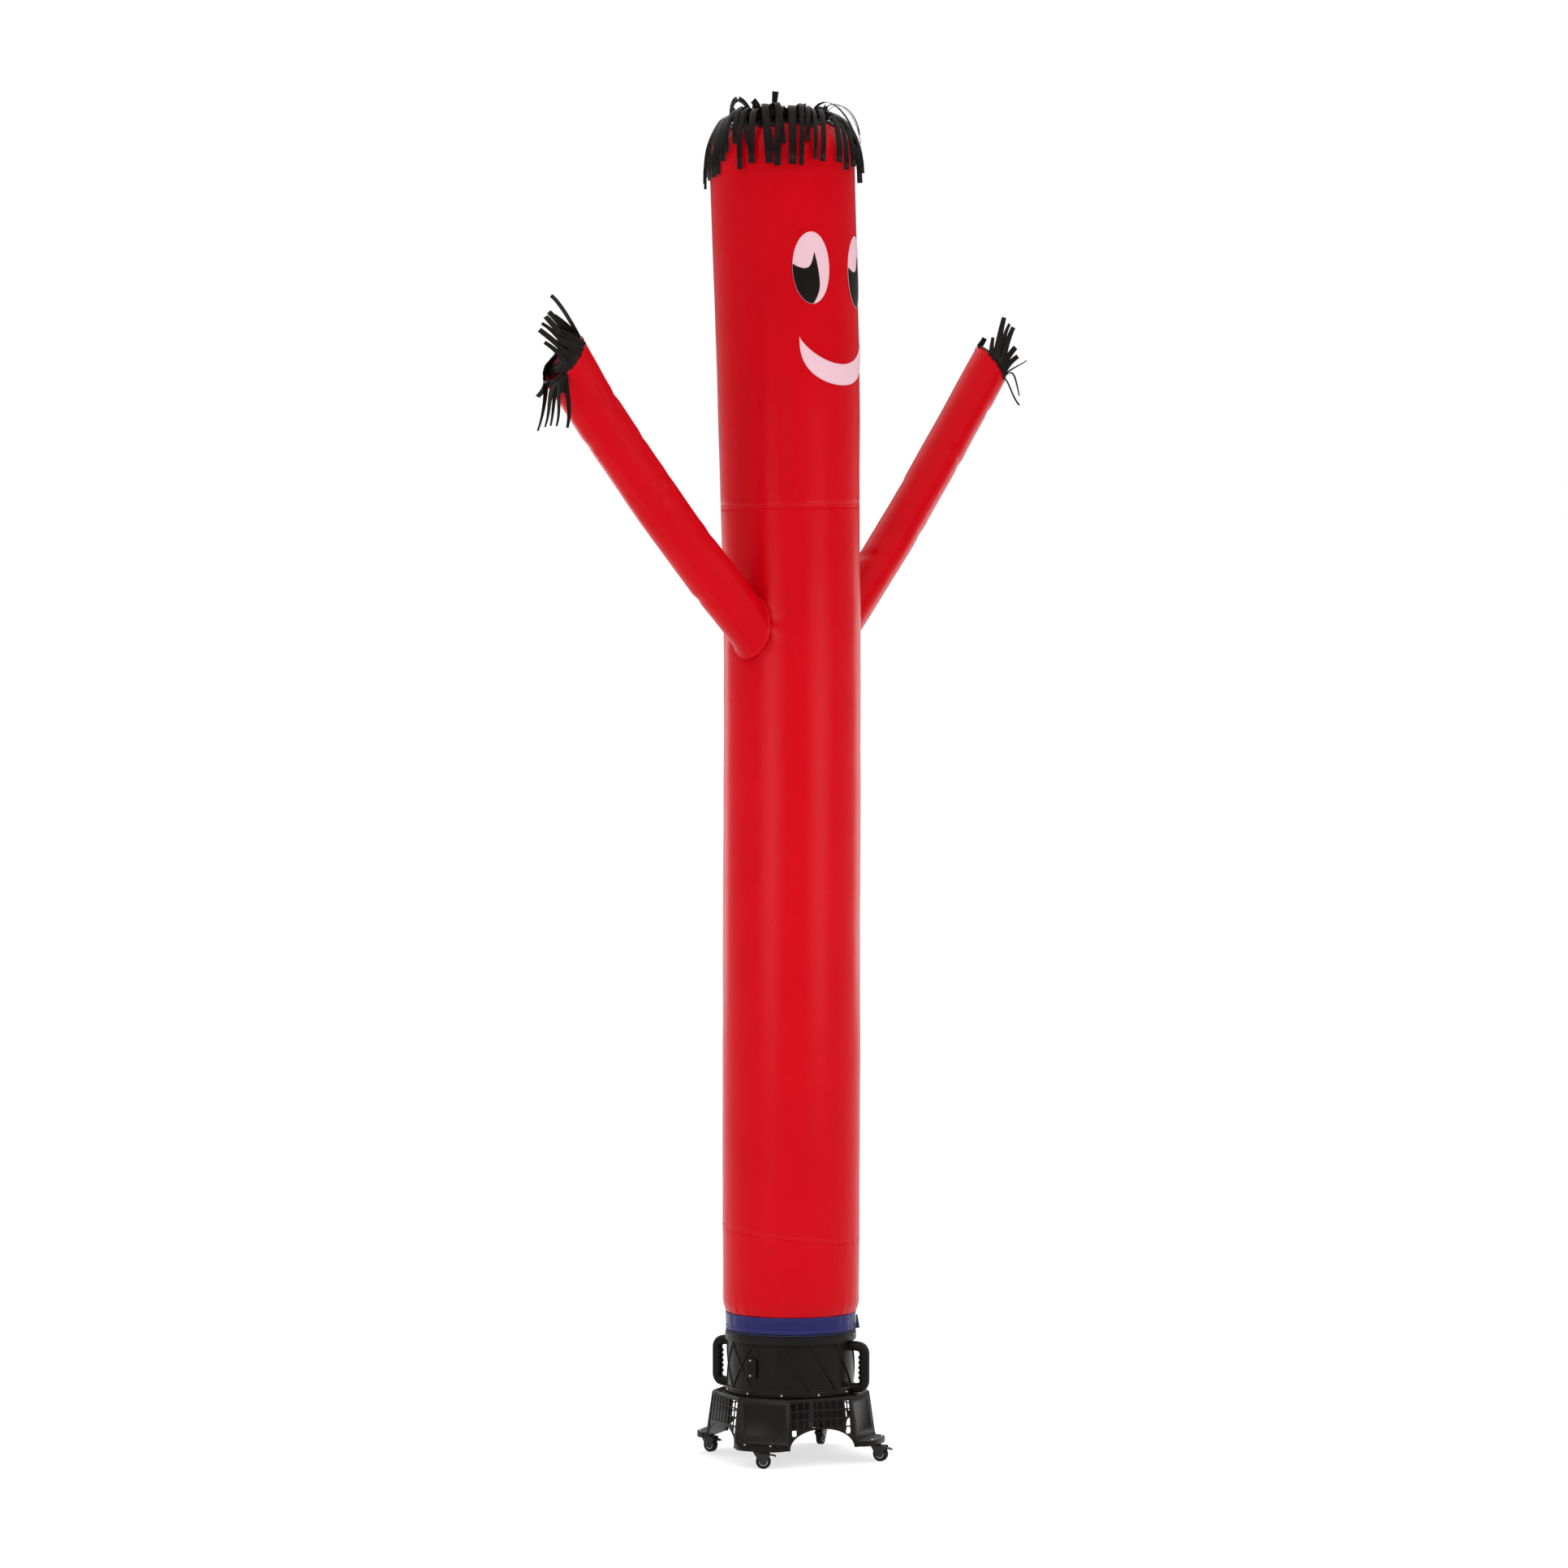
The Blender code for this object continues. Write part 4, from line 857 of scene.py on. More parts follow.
for label, spec in arms.items():
    a = fullTurn(armShape["columns"])
    start, end = armStart(spec, a), armEnd(spec, a)
    rows = []
    for t in np.linspace(0, 1, armShape["rows"]):
        s = start + (end - start) * (0.75 * t ** 1.6 + 0.25 * t)
        out, gather = sleeveOut(spec, s, a, s - start)
        rows.append(armPoint(spec, s, a, out + armShape["endGather"] * gather * np.exp(-(end - s) / 0.02)))
    girth = 2 * math.pi * math.sqrt((spec["wide"] ** 2 + spec["thin"] ** 2) / 2)
    grid = facingOut(np.array(rows), 5)
    sleeve = gridPiece(label + "Sleeve", grid, sleeveNylon, True, girth, spec["length"])
    spec["piece"] = settle(thicken(sleeve, armShape["wall"]), "red_nylon", "arm_" + label)
    a = fullTurn(200)
    start = armStart(spec, a)
    lines = []
    for back in armShape["threadRows"]:
        out, _ = sleeveOut(spec, start + back, a, back)
        lines.append(armPoint(spec, start + back, a, out + armShape["threadLift"]))
    armWith[label].append(stitchRow(label + "RootStitches", lines, redThread, "seam", "red_nylon"))
print("sleeves made")

# face, in degrees round from the middle of the face and metres of height
face = dict(eyeTurns=(-30.0, 23.6), eyeHalf=15.8, eyeHeights=(3.984, 3.970), eyeTall=0.1190, lift=0.0021,
            puff=0.0018, wall=0.0008, hem=0.955, threadLift=0.0009, pupilLift=0.0024, sink=0.0009,
            sinkFrom=0.93, sinkOver=0.07, mouthMiddle=-2.4, mouthHalf=39.5, mouthTip=3.758, mouthTop=0.092,
            mouthBottom=0.156, mouthColumns=96, mouthHem=0.0045, mouthThread=0.0014)
pupilNotch = ((2.3, 0.0527), (1.2, 0.036), (-0.4, 0.0165), (-2.5, 0.0045), (-5.6, -0.001), (-9.5, 0.0015),
              (-13.0, 0.0075), (-15.6, 0.0145))
eyeRings, pupilRings = (1.0, 0.985, 0.95, 0.88, 0.75, 0.6, 0.4, 0.2), (1.0, 0.97, 0.9, 0.75, 0.5, 0.25)


def onHead(u, z, lift):
    return onTube(tube["face"] + np.asarray(u, float), np.asarray(z, float), lift)


def patchPiece(name, outline, centre, lift, mat, slot, node, thread, shares):
    outline, centre = np.array(outline), np.array(centre)

    def ring(share, out):
        p = centre + (outline - centre) * share
        return onHead(p[:, 0], p[:, 1], lift + out)

    rings = []
    for share in shares:                                # crowned in the middle, sunk at the rim
        sink = face["sink"] * max(0.0, (share - face["sinkFrom"]) / face["sinkOver"])
        rings.append(ring(share, face["puff"] * (1 - share ** 2) - sink))
    patch = polarPiece(name, onHead(*centre, lift + face["puff"]), rings, mat, 0.12)
    row = stitchRow(name + "Stitches", [ring(face["hem"], face["threadLift"])], thread, "patch", slot)
    return settle(thicken(patch, face["wall"]), slot, node), row


def eyeOutline(mid, high):
    a = fullTurn(120)
    return np.stack((mid + face["eyeHalf"] * np.cos(a), high + face["eyeTall"] * np.sin(a)), -1)


def pupilOutline(mid, high):
    pts = [(0.993 * face["eyeHalf"] * math.cos(a), 0.995 * face["eyeTall"] * math.sin(a))
           for a in np.radians(np.linspace(174, 271, 38))]   # along the eye's own edge
    horn, top, low = pupilNotch[0], (6.2, -0.036), (0.8, -0.1170)
    for t in np.linspace(0.14, 0.96, 14):               # cheek, from the bottom up
        w = math.sin(t * math.pi) * 2.0
        pts.append((low[0] + (top[0] - low[0]) * t + w, low[1] + (top[1] - low[1]) * t))
    for t in np.linspace(0.0, 1.0, 12):                 # up to the horn
        w = 0.5 * math.sin(t * math.pi)
        pts.append((top[0] + (horn[0] - top[0]) * t + w, top[1] + (horn[1] - top[1]) * t))
    pts += [tuple(p) for p in smoothLine(pupilNotch, 5)[1:-1]]   # the round notch
    return [(mid + x, high + z) for x, z in pts]


faceSheets = []
for mid, high, label in zip(face["eyeTurns"], face["eyeHeights"], ("left", "right")):
    eye, row = patchPiece(label + "Eye", eyeOutline(mid, high), (mid, high), face["lift"], whiteNylon,
                          "white_nylon", "eye_" + label, whiteThread, eyeRings)
    pupil, row2 = patchPiece(label + "Pupil", pupilOutline(mid, high), (mid - 1.2, high - 0.052),
                             face["lift"] + face["pupilLift"], blackNylon, "black_nylon", "pupil_" + label,
                             blackThread, pupilRings)
    faceSheets += [(eye, [row], 0.130, 0.243, math.pi * 0.0655 * 0.1215),
                   (pupil, [row2], 0.095, 0.165, 0.0095)]

cols, half = face["mouthColumns"], face["mouthHalf"]
a = half * np.sin((-1 + 2 * np.arange(cols + 1) / cols) * np.pi / 2)
curve = np.maximum(1 - (a / half) ** 2, 0)
a = a + face["mouthMiddle"]
zTop = face["mouthTip"] - face["mouthTop"] * curve ** 0.8
zLow = face["mouthTip"] - face["mouthBottom"] * curve ** 0.38 - 0.006
rows = []
for v in np.linspace(0, 1, 9)[::-1]:
    crown = face["puff"] * (1 - (2 * v - 1) ** 4) * np.clip(curve * 3, 0, 1)
    rows.append(onHead(a, zTop + (zLow - zTop) * v, face["lift"] + crown))
mouth = thicken(gridPiece("smile", np.array(rows), whiteNylon, False, 0.33, 0.07), face["wall"])
settle(mouth, "white_nylon", "mouth")
keep = slice(3, cols - 2)                               # the thin tips have no stitches
lineTop, lineLow = (onHead(a[keep], z[keep], face["lift"] + face["mouthThread"])
                    for z in (zTop - face["mouthHem"], zLow + face["mouthHem"]))
line = np.concatenate((lineTop, lineLow[::-1]))
row = stitchRow("smileStitches", [line], whiteThread, "patch", "white_nylon")
faceSheets.append((mouth, [row], 0.33, 0.17, 0.021))
print("face made")


# ribbons of the hair and the hands
def ribbonRows(ctrl, across, width, twist=0.0, cup=0.0, flare=0.0, steps=14, columns=5):
    a, b, c, d = (np.asarray(p, float) for p in ctrl)
    across = np.asarray(across, float)
    t = np.linspace(0, 1, steps + 1)[:, None]
    p = (1 - t) ** 3 * a + 3 * t * (1 - t) ** 2 * b + 3 * t * t * (1 - t) * c + t ** 3 * d
    e = np.gradient(p, axis=0)
    e /= np.linalg.norm(e, axis=1)[:, None]
    side = across - e * (e @ across)[:, None]
    side /= np.linalg.norm(side, axis=1)[:, None]
    normal = np.cross(side, e)
    turn = np.radians(twist) * t ** 1.5
    wide = side * np.cos(turn) + normal * np.sin(turn)
    lift = normal * np.cos(turn) - side * np.sin(turn)
    x = np.linspace(-1, 1, columns)
    grow = (1 + flare * t)[:, None]
    return (p[:, None] + wide[:, None] * x[None, :, None] * width / 2 * grow
            + lift[:, None] * (cup * (x ** 2 - 0.4))[None, :, None])


def stripPiece(name, grids, mat, thickness=0.0008):
    verts, faces, uv = [], [], []
    for grid in grids:
        rows, cols = grid.shape[:2]
        long = float(np.linalg.norm(np.diff(grid[:, cols // 2], axis=0), axis=1).sum())
        wide = float(np.linalg.norm(grid[0, -1] - grid[0, 0]))
        cells, places = gridCells(rows, cols, wide, long, False, cols - 1, len(verts))
        verts += grid.reshape(-1, 3).tolist()
        faces += cells
        uv += places
    return thicken(meshPiece(name, verts, faces, mat, uv), thickness, 0.0)


# hair: root turn, tip turn, tip height, how far out, width and twist of the ribbons that frame the face, with
# turns counted from where the camera stands
hairFront = (
    (-94, -89, 4.3, 0.251, 0.018, 25), (-87, -84, 4.262, 0.259, 0.011, 55),
    (-79, -76, 4.288, 0.251, 0.018, 25), (-70, -66, 4.296, 0.252, 0.021, 25),
    (-62, -59, 4.304, 0.252, 0.024, 20), (-53, -50, 4.345, 0.258, 0.02, 30),
    (-48, -45, 4.373, 0.258, 0.016, 20), (-36, -32.4, 4.315, 0.262, 0.02, 8),
    (-26, -22.3, 4.332, 0.264, 0.024, -6), (-19, -9.2, 4.331, 0.262, 0.024, 5),
    (3, -3.4, 4.322, 0.264, 0.022, -8), (13, 7.7, 4.325, 0.262, 0.026, 6),
    (24, 13.9, 4.321, 0.264, 0.016, -10), (38, 24.7, 4.34, 0.262, 0.017, 12),
    (48, 30.6, 4.333, 0.264, 0.02, -15), (62, 46.3, 4.332, 0.262, 0.02, -30),
    (74, 55, 4.308, 0.26, 0.017, -45), (78, 66, 4.32, 0.26, 0.018, -55), (84, 74, 4.266, 0.268, 0.018, -65),
    (90, 80, 4.3, 0.268, 0.022, -70), (-50, -24, 4.366, 0.256, 0.014, 10),
    (-21, -6.8, 4.369, 0.258, 0.014, -8), (-42, -38, 4.4, 0.25, 0.02, 0), (31, 20, 4.4, 0.25, 0.018, 0),
    (-8, 1, 4.395, 0.25, 0.02, 5),
)
hairShape = dict(rho=0.158, low=4.4778, tall=0.041, collar=58.0, seed=11, backCount=22, backFrom=96.0,
                 backOver=168.0, backTips=((4.27, 4.345), (0.258, 0.268), (0.018, 0.024), (-25, 25)),
                 peaks=(0.054, 0.040), peakSpread=(0.032, 0.016), bandOut=0.0019, bandSlope=0.0005,
                 ruffle=0.0042, wall=0.0008, threadTurns=(76.0, 84.0), threadLift=0.0030)
# ribbons with a way of their own: four (turn, out, height) points, width, flare and twist
hairLoose = (
    ((40, 0.159, 4.484), (45, 0.168, 4.580), (70, 0.262, 4.556), (84, 0.272, 4.303), 0.020, -0.2, 10),
    ((52, 0.159, 4.484), (58, 0.185, 4.565), (78, 0.250, 4.545), (87, 0.266, 4.400), 0.007, -0.3, 35),
    ((62, 0.159, 4.484), (66, 0.190, 4.560), (80, 0.255, 4.530), (90, 0.262, 4.430), 0.006, 0.0, -30),
    ((-80, 0.168, 4.484), (-72, 0.178, 4.574), (-46, 0.178, 4.574), (-34, 0.170, 4.494), 0.019, 0.0, 12),
    ((-8, 0.160, 4.484), (-8, 0.160, 4.510), (-7, 0.158, 4.545), (-5.7, 0.158, 4.572), 0.012, 0.85, 6),
    ((-23, 0.160, 4.484), (-24, 0.166, 4.510), (-27, 0.170, 4.530), (-32, 0.172, 4.545), 0.024, -0.1, -8),
    ((150, 0.159, 4.484), (152, 0.165, 4.515), (154, 0.180, 4.535), (156, 0.190, 4.548), 0.019, 0.0, 15),
    ((215, 0.159, 4.484), (213, 0.165, 4.510), (210, 0.175, 4.540), (208, 0.182, 4.556), 0.019, 0.1, -25),
)


def makeHair():
    rng = random.Random(hairShape["seed"])
    rho, start = hairShape["rho"], hairShape["low"] + 0.006
    grids, hanging = [], list(hairFront)
    for k in range(hairShape["backCount"]):
        root = k + rng.uniform(-0.3, 0.3)
        root = hairShape["backFrom"] + hairShape["backOver"] * root / (hairShape["backCount"] - 1)
        tip = root + rng.uniform(-9, 9)
        hanging.append((root, tip, *(rng.uniform(*pair) for pair in hairShape["backTips"])))
    for root, tip, low, far, width, twist in hanging:
        level, swing = min(max((abs(root) - 30) / 35, 0.0), 1.0), tip - root   # those at the sides lie lower
        above, beside = (rise + rng.uniform(0.0, spread)
                         for rise, spread in zip(hairShape["peaks"], hairShape["peakSpread"]))
        peak = start + above * (1 - level) + beside * level
        ctrl = [(0.0, rho + 0.0012, start), (0.1 * swing, rho + 0.006 + 0.010 * level, peak),
                (0.75 * swing, far + 0.004 - 0.004 * level, peak - 0.052 * level), (swing, far, low)]
        pts = [skin(camera["azimuth"] + root + a, np.array(z), np.array(r)) for a, r, z in ctrl]
        across = np.cross(zAxis, bearing(camera["azimuth"] + root + 0.6 * swing))
        grids.append(ribbonRows(pts, across, width, twist + rng.uniform(-6, 6), rng.uniform(-0.0012, 0.0016)))
    for *ctrl, width, flare, twist in hairLoose:
        pts = [skin(camera["azimuth"] + a, np.array(z), np.array(r)) for a, r, z in ctrl]
        across = np.cross(zAxis, bearing(camera["azimuth"] + 0.5 * (ctrl[0][0] + ctrl[3][0])))
        grids.append(ribbonRows(pts, across, width, twist, 0.0008, flare))
    return grids


def hairBandPoints():
    # the root band: a collar that lies on the shoulder, then a ruffle that stands up
    az, rows = 360.0 * np.arange(192) / 192, []
    ragged = 1 + 0.16 * ripple(az, 9, 1.0) + 0.10 * ripple(az, 23, 0.3)
    for v in np.linspace(0, 1, 7):
        turns = 90.0 - (90.0 - hairShape["collar"]) * (1 - v) * ragged
        out = hairShape["bandOut"] + hairShape["bandSlope"] * (1 - v)
        rows.append(shoulderRow(az, turns, np.full(az.shape, out)))
    for v in np.linspace(0.12, 1, 7):
        tall = hairShape["tall"] * v * (1 + 0.20 * ripple(az, 9, 1.0) + 0.12 * ripple(az, 22, 2.0))
        wave = hairShape["ruffle"] * v * (ripple(az, 19, 0.4) + 0.6 * ripple(az, 31, 2.0))
        rows.append(skin(az, hairShape["low"] + 0.002 + tall, hairShape["rho"] - 0.001 + wave))
    return np.array(rows)


ribbons = stripPiece("hairRibbons", makeHair(), blackNylon)
band = thicken(gridPiece("hairBand", hairBandPoints(), blackNylon, True, 0.99, 0.080), hairShape["wall"])
hair = settle(joinPieces("hair", [ribbons, band]), "black_nylon", "hair_fringe")
az = 360.0 * np.arange(96) / 96
lines = [shoulderRow(az, np.full(az.shape, turn), np.full(az.shape, hairShape["threadLift"]))
         for turn in hairShape["threadTurns"]]
headWith += [hair, stitchRow("hairStitches", lines, blackThread, "hair", "black_nylon")]

# hands: four (right, up) points of each ribbon from the sleeve's end point as seen from the camera, how far
# the tip comes forward, root and tip width, and twist
handShape = dict(band=0.022, lap=0.004, turns=72, wall=0.0006, bandOut=0.0007, bandWave=0.0008,
                 rootBack=0.002, rootOut=0.0014, threadBack=0.007, threadLift=0.0017)
handRibbons = {
    "left": (
        ((0.023, 0.125), (-0.001, 0.172), (-0.041, 0.241), (-0.067, 0.259), 0.05, 0.013, 0.014, 10),
        ((0.020, 0.112), (0.002, 0.145), (-0.025, 0.172), (-0.058, 0.194), 0.02, 0.019, 0.017, -10),
        ((0.015, 0.099), (-0.011, 0.139), (-0.044, 0.178), (-0.074, 0.207), 0.06, 0.024, 0.017, 8),
        ((0.002, 0.079), (-0.025, 0.125), (-0.058, 0.165), (-0.087, 0.194), -0.01, 0.024, 0.017, -12),
        ((-0.001, 0.066), (-0.031, 0.112), (-0.058, 0.149), (-0.097, 0.171), 0.04, 0.02, 0.01, 15),
        ((-0.011, 0.052), (-0.035, 0.099), (-0.064, 0.119), (-0.104, 0.15), 0.06, 0.02, 0.017, -10),
        ((-0.015, 0.033), (-0.028, 0.066), (-0.051, 0.086), (-0.089, 0.111), 0.02, 0.022, 0.012, 10),
        ((-0.068, -0.01), (-0.081, -0.03), (-0.094, -0.047), (-0.111, -0.064), 0.05, 0.02, 0.017, -15),
        ((-0.061, -0.001), (-0.088, -0.034), (-0.083, -0.093), (-0.111, -0.173), 0.03, 0.02, 0.007, 25),
        ((-0.051, -0.001), (-0.081, -0.037), (-0.064, -0.1), (-0.087, -0.161), 0.05, 0.022, 0.006, -20),
        ((-0.044, -0.001), (-0.061, -0.034), (-0.056, -0.1), (-0.07, -0.157), 0.02, 0.018, 0.006, 20),
        ((-0.031, -0.001), (-0.054, -0.034), (-0.031, -0.1), (-0.05, -0.158), 0.06, 0.018, 0.007, -25),
        ((-0.018, 0.006), (-0.018, -0.04), (0.002, -0.1), (-0.013, -0.164), 0.12, 0.02, 0.009, 15),
        ((-0.021, 0.013), (-0.03, -0.007), (-0.028, -0.027), (-0.026, -0.054), 0.12, 0.018, 0.017, 30),
        ((-0.061, 0.013), (-0.059, 0.019), (-0.051, 0.036), (-0.036, 0.069), 0.03, 0.016, 0.014, 35),
        ((0.022, 0.100), (0.008, 0.116), (-0.010, 0.130), (-0.036, 0.140), 0.08, 0.026, 0.024, 8),
        ((0.022, 0.085), (0.000, 0.100), (-0.020, 0.110), (-0.045, 0.120), 0.09, 0.026, 0.020, -10),
        ((-0.061, 0.020), (-0.052, 0.035), (-0.034, 0.048), (-0.008, 0.060), 0.07, 0.024, 0.022, 20),
        ((-0.066, 0.008), (-0.058, 0.016), (-0.036, 0.030), (-0.014, 0.040), 0.08, 0.024, 0.020, -15),
    ),
    "right": (
        ((-0.044, 0.051), (-0.036, 0.059), (-0.028, 0.075), (-0.022, 0.086), 0.03, 0.020, 0.019, 5),
        ((-0.001, 0.029), (-0.001, 0.051), (0.003, 0.07), (0.005, 0.088), 0.06, 0.018, 0.011, -10),
        ((0.017, 0.013), (0.023, 0.056), (0.032, 0.111), (0.045, 0.158), 0.03, 0.026, 0.016, 10),
        ((0.029, -0.006), (0.036, 0.051), (0.047, 0.105), (0.066, 0.137), -0.02, 0.023, 0.010, -15),
        ((0.041, -0.025), (0.044, 0.035), (0.057, 0.083), (0.078, 0.124), 0.02, 0.025, 0.015, 15),
        ((0.041, -0.03), (0.049, 0.01), (0.065, 0.032), (0.084, 0.054), 0.05, 0.021, 0.019, -10),
        ((0.041, -0.041), (0.052, -0.011), (0.071, 0.008), (0.093, 0.023), 0.03, 0.019, 0.016, 12),
        ((0.041, -0.049), (0.065, -0.019), (0.087, -0.017), (0.125, 0.009), 0.00, 0.007, 0.003, 30),
        ((0.041, -0.052), (0.079, -0.006), (0.084, -0.052), (0.099, -0.114), 0.02, 0.006, 0.006, -35),
        ((0.039, -0.054), (0.06, -0.054), (0.071, -0.119), (0.098, -0.147), 0.04, 0.005, 0.006, 30),
        ((-0.036, -0.011), (-0.004, 0.029), (0.017, 0.046), (0.033, 0.067), -0.09, 0.02, 0.015, 10),
        ((0.004, -0.065), (0.033, -0.011), (0.044, 0.019), (0.055, 0.032), -0.06, 0.02, 0.014, -12),
    ),
}


def makeHand(label, spec):
    right, front = bearing(camera["azimuth"] + 90.0), bearing(camera["azimuth"])
    turns = np.linspace(0, 2 * np.pi, handShape["turns"], endpoint=False)
    end, plain = armEnd(spec, turns), np.zeros_like(turns)
    rim = armPoint(spec, end, turns) - spec["endPoint"]
    inner = armPoint(spec, end - handShape["rootBack"], turns, plain + handShape["rootOut"])
    inner = inner - spec["endPoint"]
    grids = []
    for first, second, third, tip, forward, rootWidth, tipWidth, twist in handRibbons[label]:
        i = int(np.argmin(np.hypot(rim @ right - first[0], rim @ zAxis - first[1])))
        depth = rim[i] @ front
        ways = [right * x + zAxis * z + front * (depth + (forward - depth) * share)
                for (x, z), share in ((second, 0.45), (third, 0.85), (tip, 1.0))]
        along = ways[2] - rim[i]
        level = np.cross(spec["run"], rim[i] / np.linalg.norm(rim[i]))
        facing = np.cross(front, along / np.linalg.norm(along))
        facing = facing if facing @ level > 0 else -facing
        ctrl = [spec["endPoint"] + p for p in [inner[i]] + ways]
        across, flare = 0.35 * level + 0.65 * facing, tipWidth / rootWidth - 1
        grids.append(ribbonRows(ctrl, across, rootWidth, twist, 0.0009, flare, steps=18))
    if label == "left":                                 # the left band is narrow at its upper corner
        climb = rim @ right + rim @ zAxis
        depthOf = np.clip(1.35 - 1.15 * climb / climb.max(), 0.2, 1.0)
    else:                                               # and the right one at its upper side
        slope = rim @ right - rim @ zAxis
        depthOf = np.clip(0.45 + (slope / np.abs(slope).max()) * 0.75, 0.25, 1.0)
    rows = []
    for back in np.linspace(-handShape["lap"], handShape["band"], 7):
        share = (back + handShape["lap"]) / (handShape["band"] + handShape["lap"])
        ragged = (1 + 0.20 * np.cos(5 * turns + 1.0) * share) * depthOf
        out = handShape["bandOut"] + handShape["bandWave"] * np.cos(17 * turns) * share
        rows.append(armPoint(spec, end + back * ragged, turns, out))
    grid = facingOut(np.array(rows), 1)
    band = gridPiece(label + "HandBand", grid, blackNylon, True, 0.5, handShape["band"])
    thicken(band, handShape["wall"])
    hand = joinPieces(label + "Hand", [stripPiece(label + "HandRibbons", grids, blackNylon), band])
    line = armPoint(spec, end + handShape["threadBack"], turns, plain + handShape["threadLift"])
    armWith[label] += [settle(hand, "black_nylon", "hand_fringe_" + label),
                       stitchRow(label + "HandStitches", [line], blackThread, "hand", "black_nylon")]


for label, spec in arms.items():
    makeHand(label, spec)
print("hair and hands made")

# cuff and strap
cuffShape = dict(low=0.4365, high=0.4935, foldTop=0.030, radii=(0.2173, 0.2174, 0.2187), fold=0.0010,
                 hems=((0.0006, 0.14, 0.05), (0.0007, 0.97, 0.04)), wave=0.0005, threadWave=0.0006,
                 wall=0.0009, columns=240, threads=((0.4450, 0.2184), (0.4485, 0.2184), (0.4885, 0.2196)))
strapShape = dict(low=0.4285, high=0.4355, inner=0.2152, outer=(0.2185, 0.2187), turn=60.0, half=0.0075,
                  wall=0.0016)
# the loose end goes up the cuff and turns back: distance out, height, and how far its width turns outwards
strapTail = ((0.2168, 0.4318, 0), (0.2192, 0.4345, 0), (0.2203, 0.4440, 0), (0.2207, 0.4600, 0),
             (0.2210, 0.4750, 0), (0.2219, 0.4812, 0), (0.2231, 0.4808, 8), (0.2240, 0.4710, 18),
             (0.2250, 0.4580, 28), (0.2262, 0.4460, 36), (0.2274, 0.4365, 42))
low, high = cuffShape["low"], cuffShape["high"]
az = 360.0 * np.arange(cuffShape["columns"]) / cuffShape["columns"]
rows = []
for t in np.linspace(0, 1, 22):
    z = low + (high - low) * t
    r = np.interp(z, (low, low + cuffShape["foldTop"], high), cuffShape["radii"])
    fold = 0.6 * ripple(az, 31, 0.8 + t) + 0.5 * ripple(az, 19, 2.0) + 0.4 * ripple(az, 47, 1.1)
    hem = sum(rise * math.exp(-((t - at) / wide) ** 2) for rise, at, wide in cuffShape["hems"])
    row = bearing(az) * (r + cuffShape["fold"] * fold * (0.4 + 0.6 * t) + hem)[:, None]
    row[:, 2] = z + cuffShape["wave"] * ripple(az, 9, 1.0)
    rows.append(row)
cuff = thicken(gridPiece("cuffBand", np.array(rows), blueNylon, True, 1.367, 0.057), cuffShape["wall"])
settle(cuff, "blue_nylon", "cuff")
wave = cuffShape["threadWave"] * ripple(az, 31, 0.9)
lines = [bearing(az) * (r + wave)[:, None] + zAxis * z for z, r in cuffShape["threads"]]
cuffWith = [stitchRow("cuffStitches", lines, blueThread, "cuff", "navy_webbing")]

low, high, inner, outer = (strapShape[part] for part in ("low", "high", "inner", "outer"))
profile = [(inner, low), (outer[0], low), (outer[1], high), (inner, high)]
loop = turnedPiece("strapLoop", rounded(profile, 0.0008), 180, navyWebbing)
outward, sideways, grid = bearing(strapShape["turn"]), np.cross(zAxis, bearing(strapShape["turn"])), []
for r, z, turn in smoothLine(strapTail, 3):
    wide = sideways * math.cos(math.radians(turn)) + outward * math.sin(math.radians(turn))
    grid.append([outward * r + wide * strapShape["half"] * x + zAxis * z for x in np.linspace(-1, 1, 5)])
tail = stripPiece("strapTail", [np.array(grid)], navyWebbing, strapShape["wall"])
strap = smoothByAngle(joinPieces("strapBand", [loop, tail]), 45)
cuffWith.append(settle(strap, "navy_webbing", "strap"))
print("cuff and strap made")

# drum, its ribs and the outlet ring
drumShape = dict(bore=0.2000, radius=0.2120, flange=0.2205, low=0.2255, flangeTop=0.2425, high=0.3995,
                 steps=156, ribs=13, ribRadius=0.0037, ribOut=0.0004, ribStart=-62.0, ribFoot=0.2455,
                 ribTop=0.3983, crossed=(-125.0, -50.0), screwCount=11, screwStart=-64.7, screwHigh=0.2340,
                 ringCount=12, ringStart=15.0, ringHigh=0.4185)
bore, radius, flange = drumShape["bore"], drumShape["radius"], drumShape["flange"]
profile = [(bore, drumShape["low"]), (flange, drumShape["low"]), (flange, drumShape["flangeTop"]),
           (flange - 0.0025, 0.2450), (radius + 0.0008, 0.2462), (radius, 0.2485),
           (radius, drumShape["high"]), (bore, drumShape["high"])]
settle(turnedPiece("drumShell", rounded(profile, 0.0016, 4), drumShape["steps"], blackPlastic),
       "black_plastic", "drum")
lines, t = [], np.linspace(0, 1, 26)
for turn, start in ((1, drumShape["ribStart"]), (-1, drumShape["ribStart"] + 0.6)):
    for k in range(drumShape["ribs"]):
        a = start + 360.0 / drumShape["ribs"] * (k + turn * t)
        if turn > 0 or drumShape["crossed"][0] < wrapped(a.mean()) < drumShape["crossed"][1]:
            line = bearing(a) * (radius + drumShape["ribOut"])
            line[:, 2] = drumShape["ribFoot"] + (drumShape["ribTop"] - drumShape["ribFoot"]) * (1 - t)
            lines.append(line)
ribs = runTree(linePiece("drumRibs", lines, False), ribTree, {"Radius": drumShape["ribRadius"], "Sides": 10,
                                                              "Finish": blackPlastic})
settle(ribs, "black_plastic")
ring = [(0.2050, 0.4000), (flange, 0.4000), (flange, 0.4245), (0.2170, 0.4272), (0.2130, 0.4272),
        (0.2130, 0.4880), (0.2070, 0.4880)]
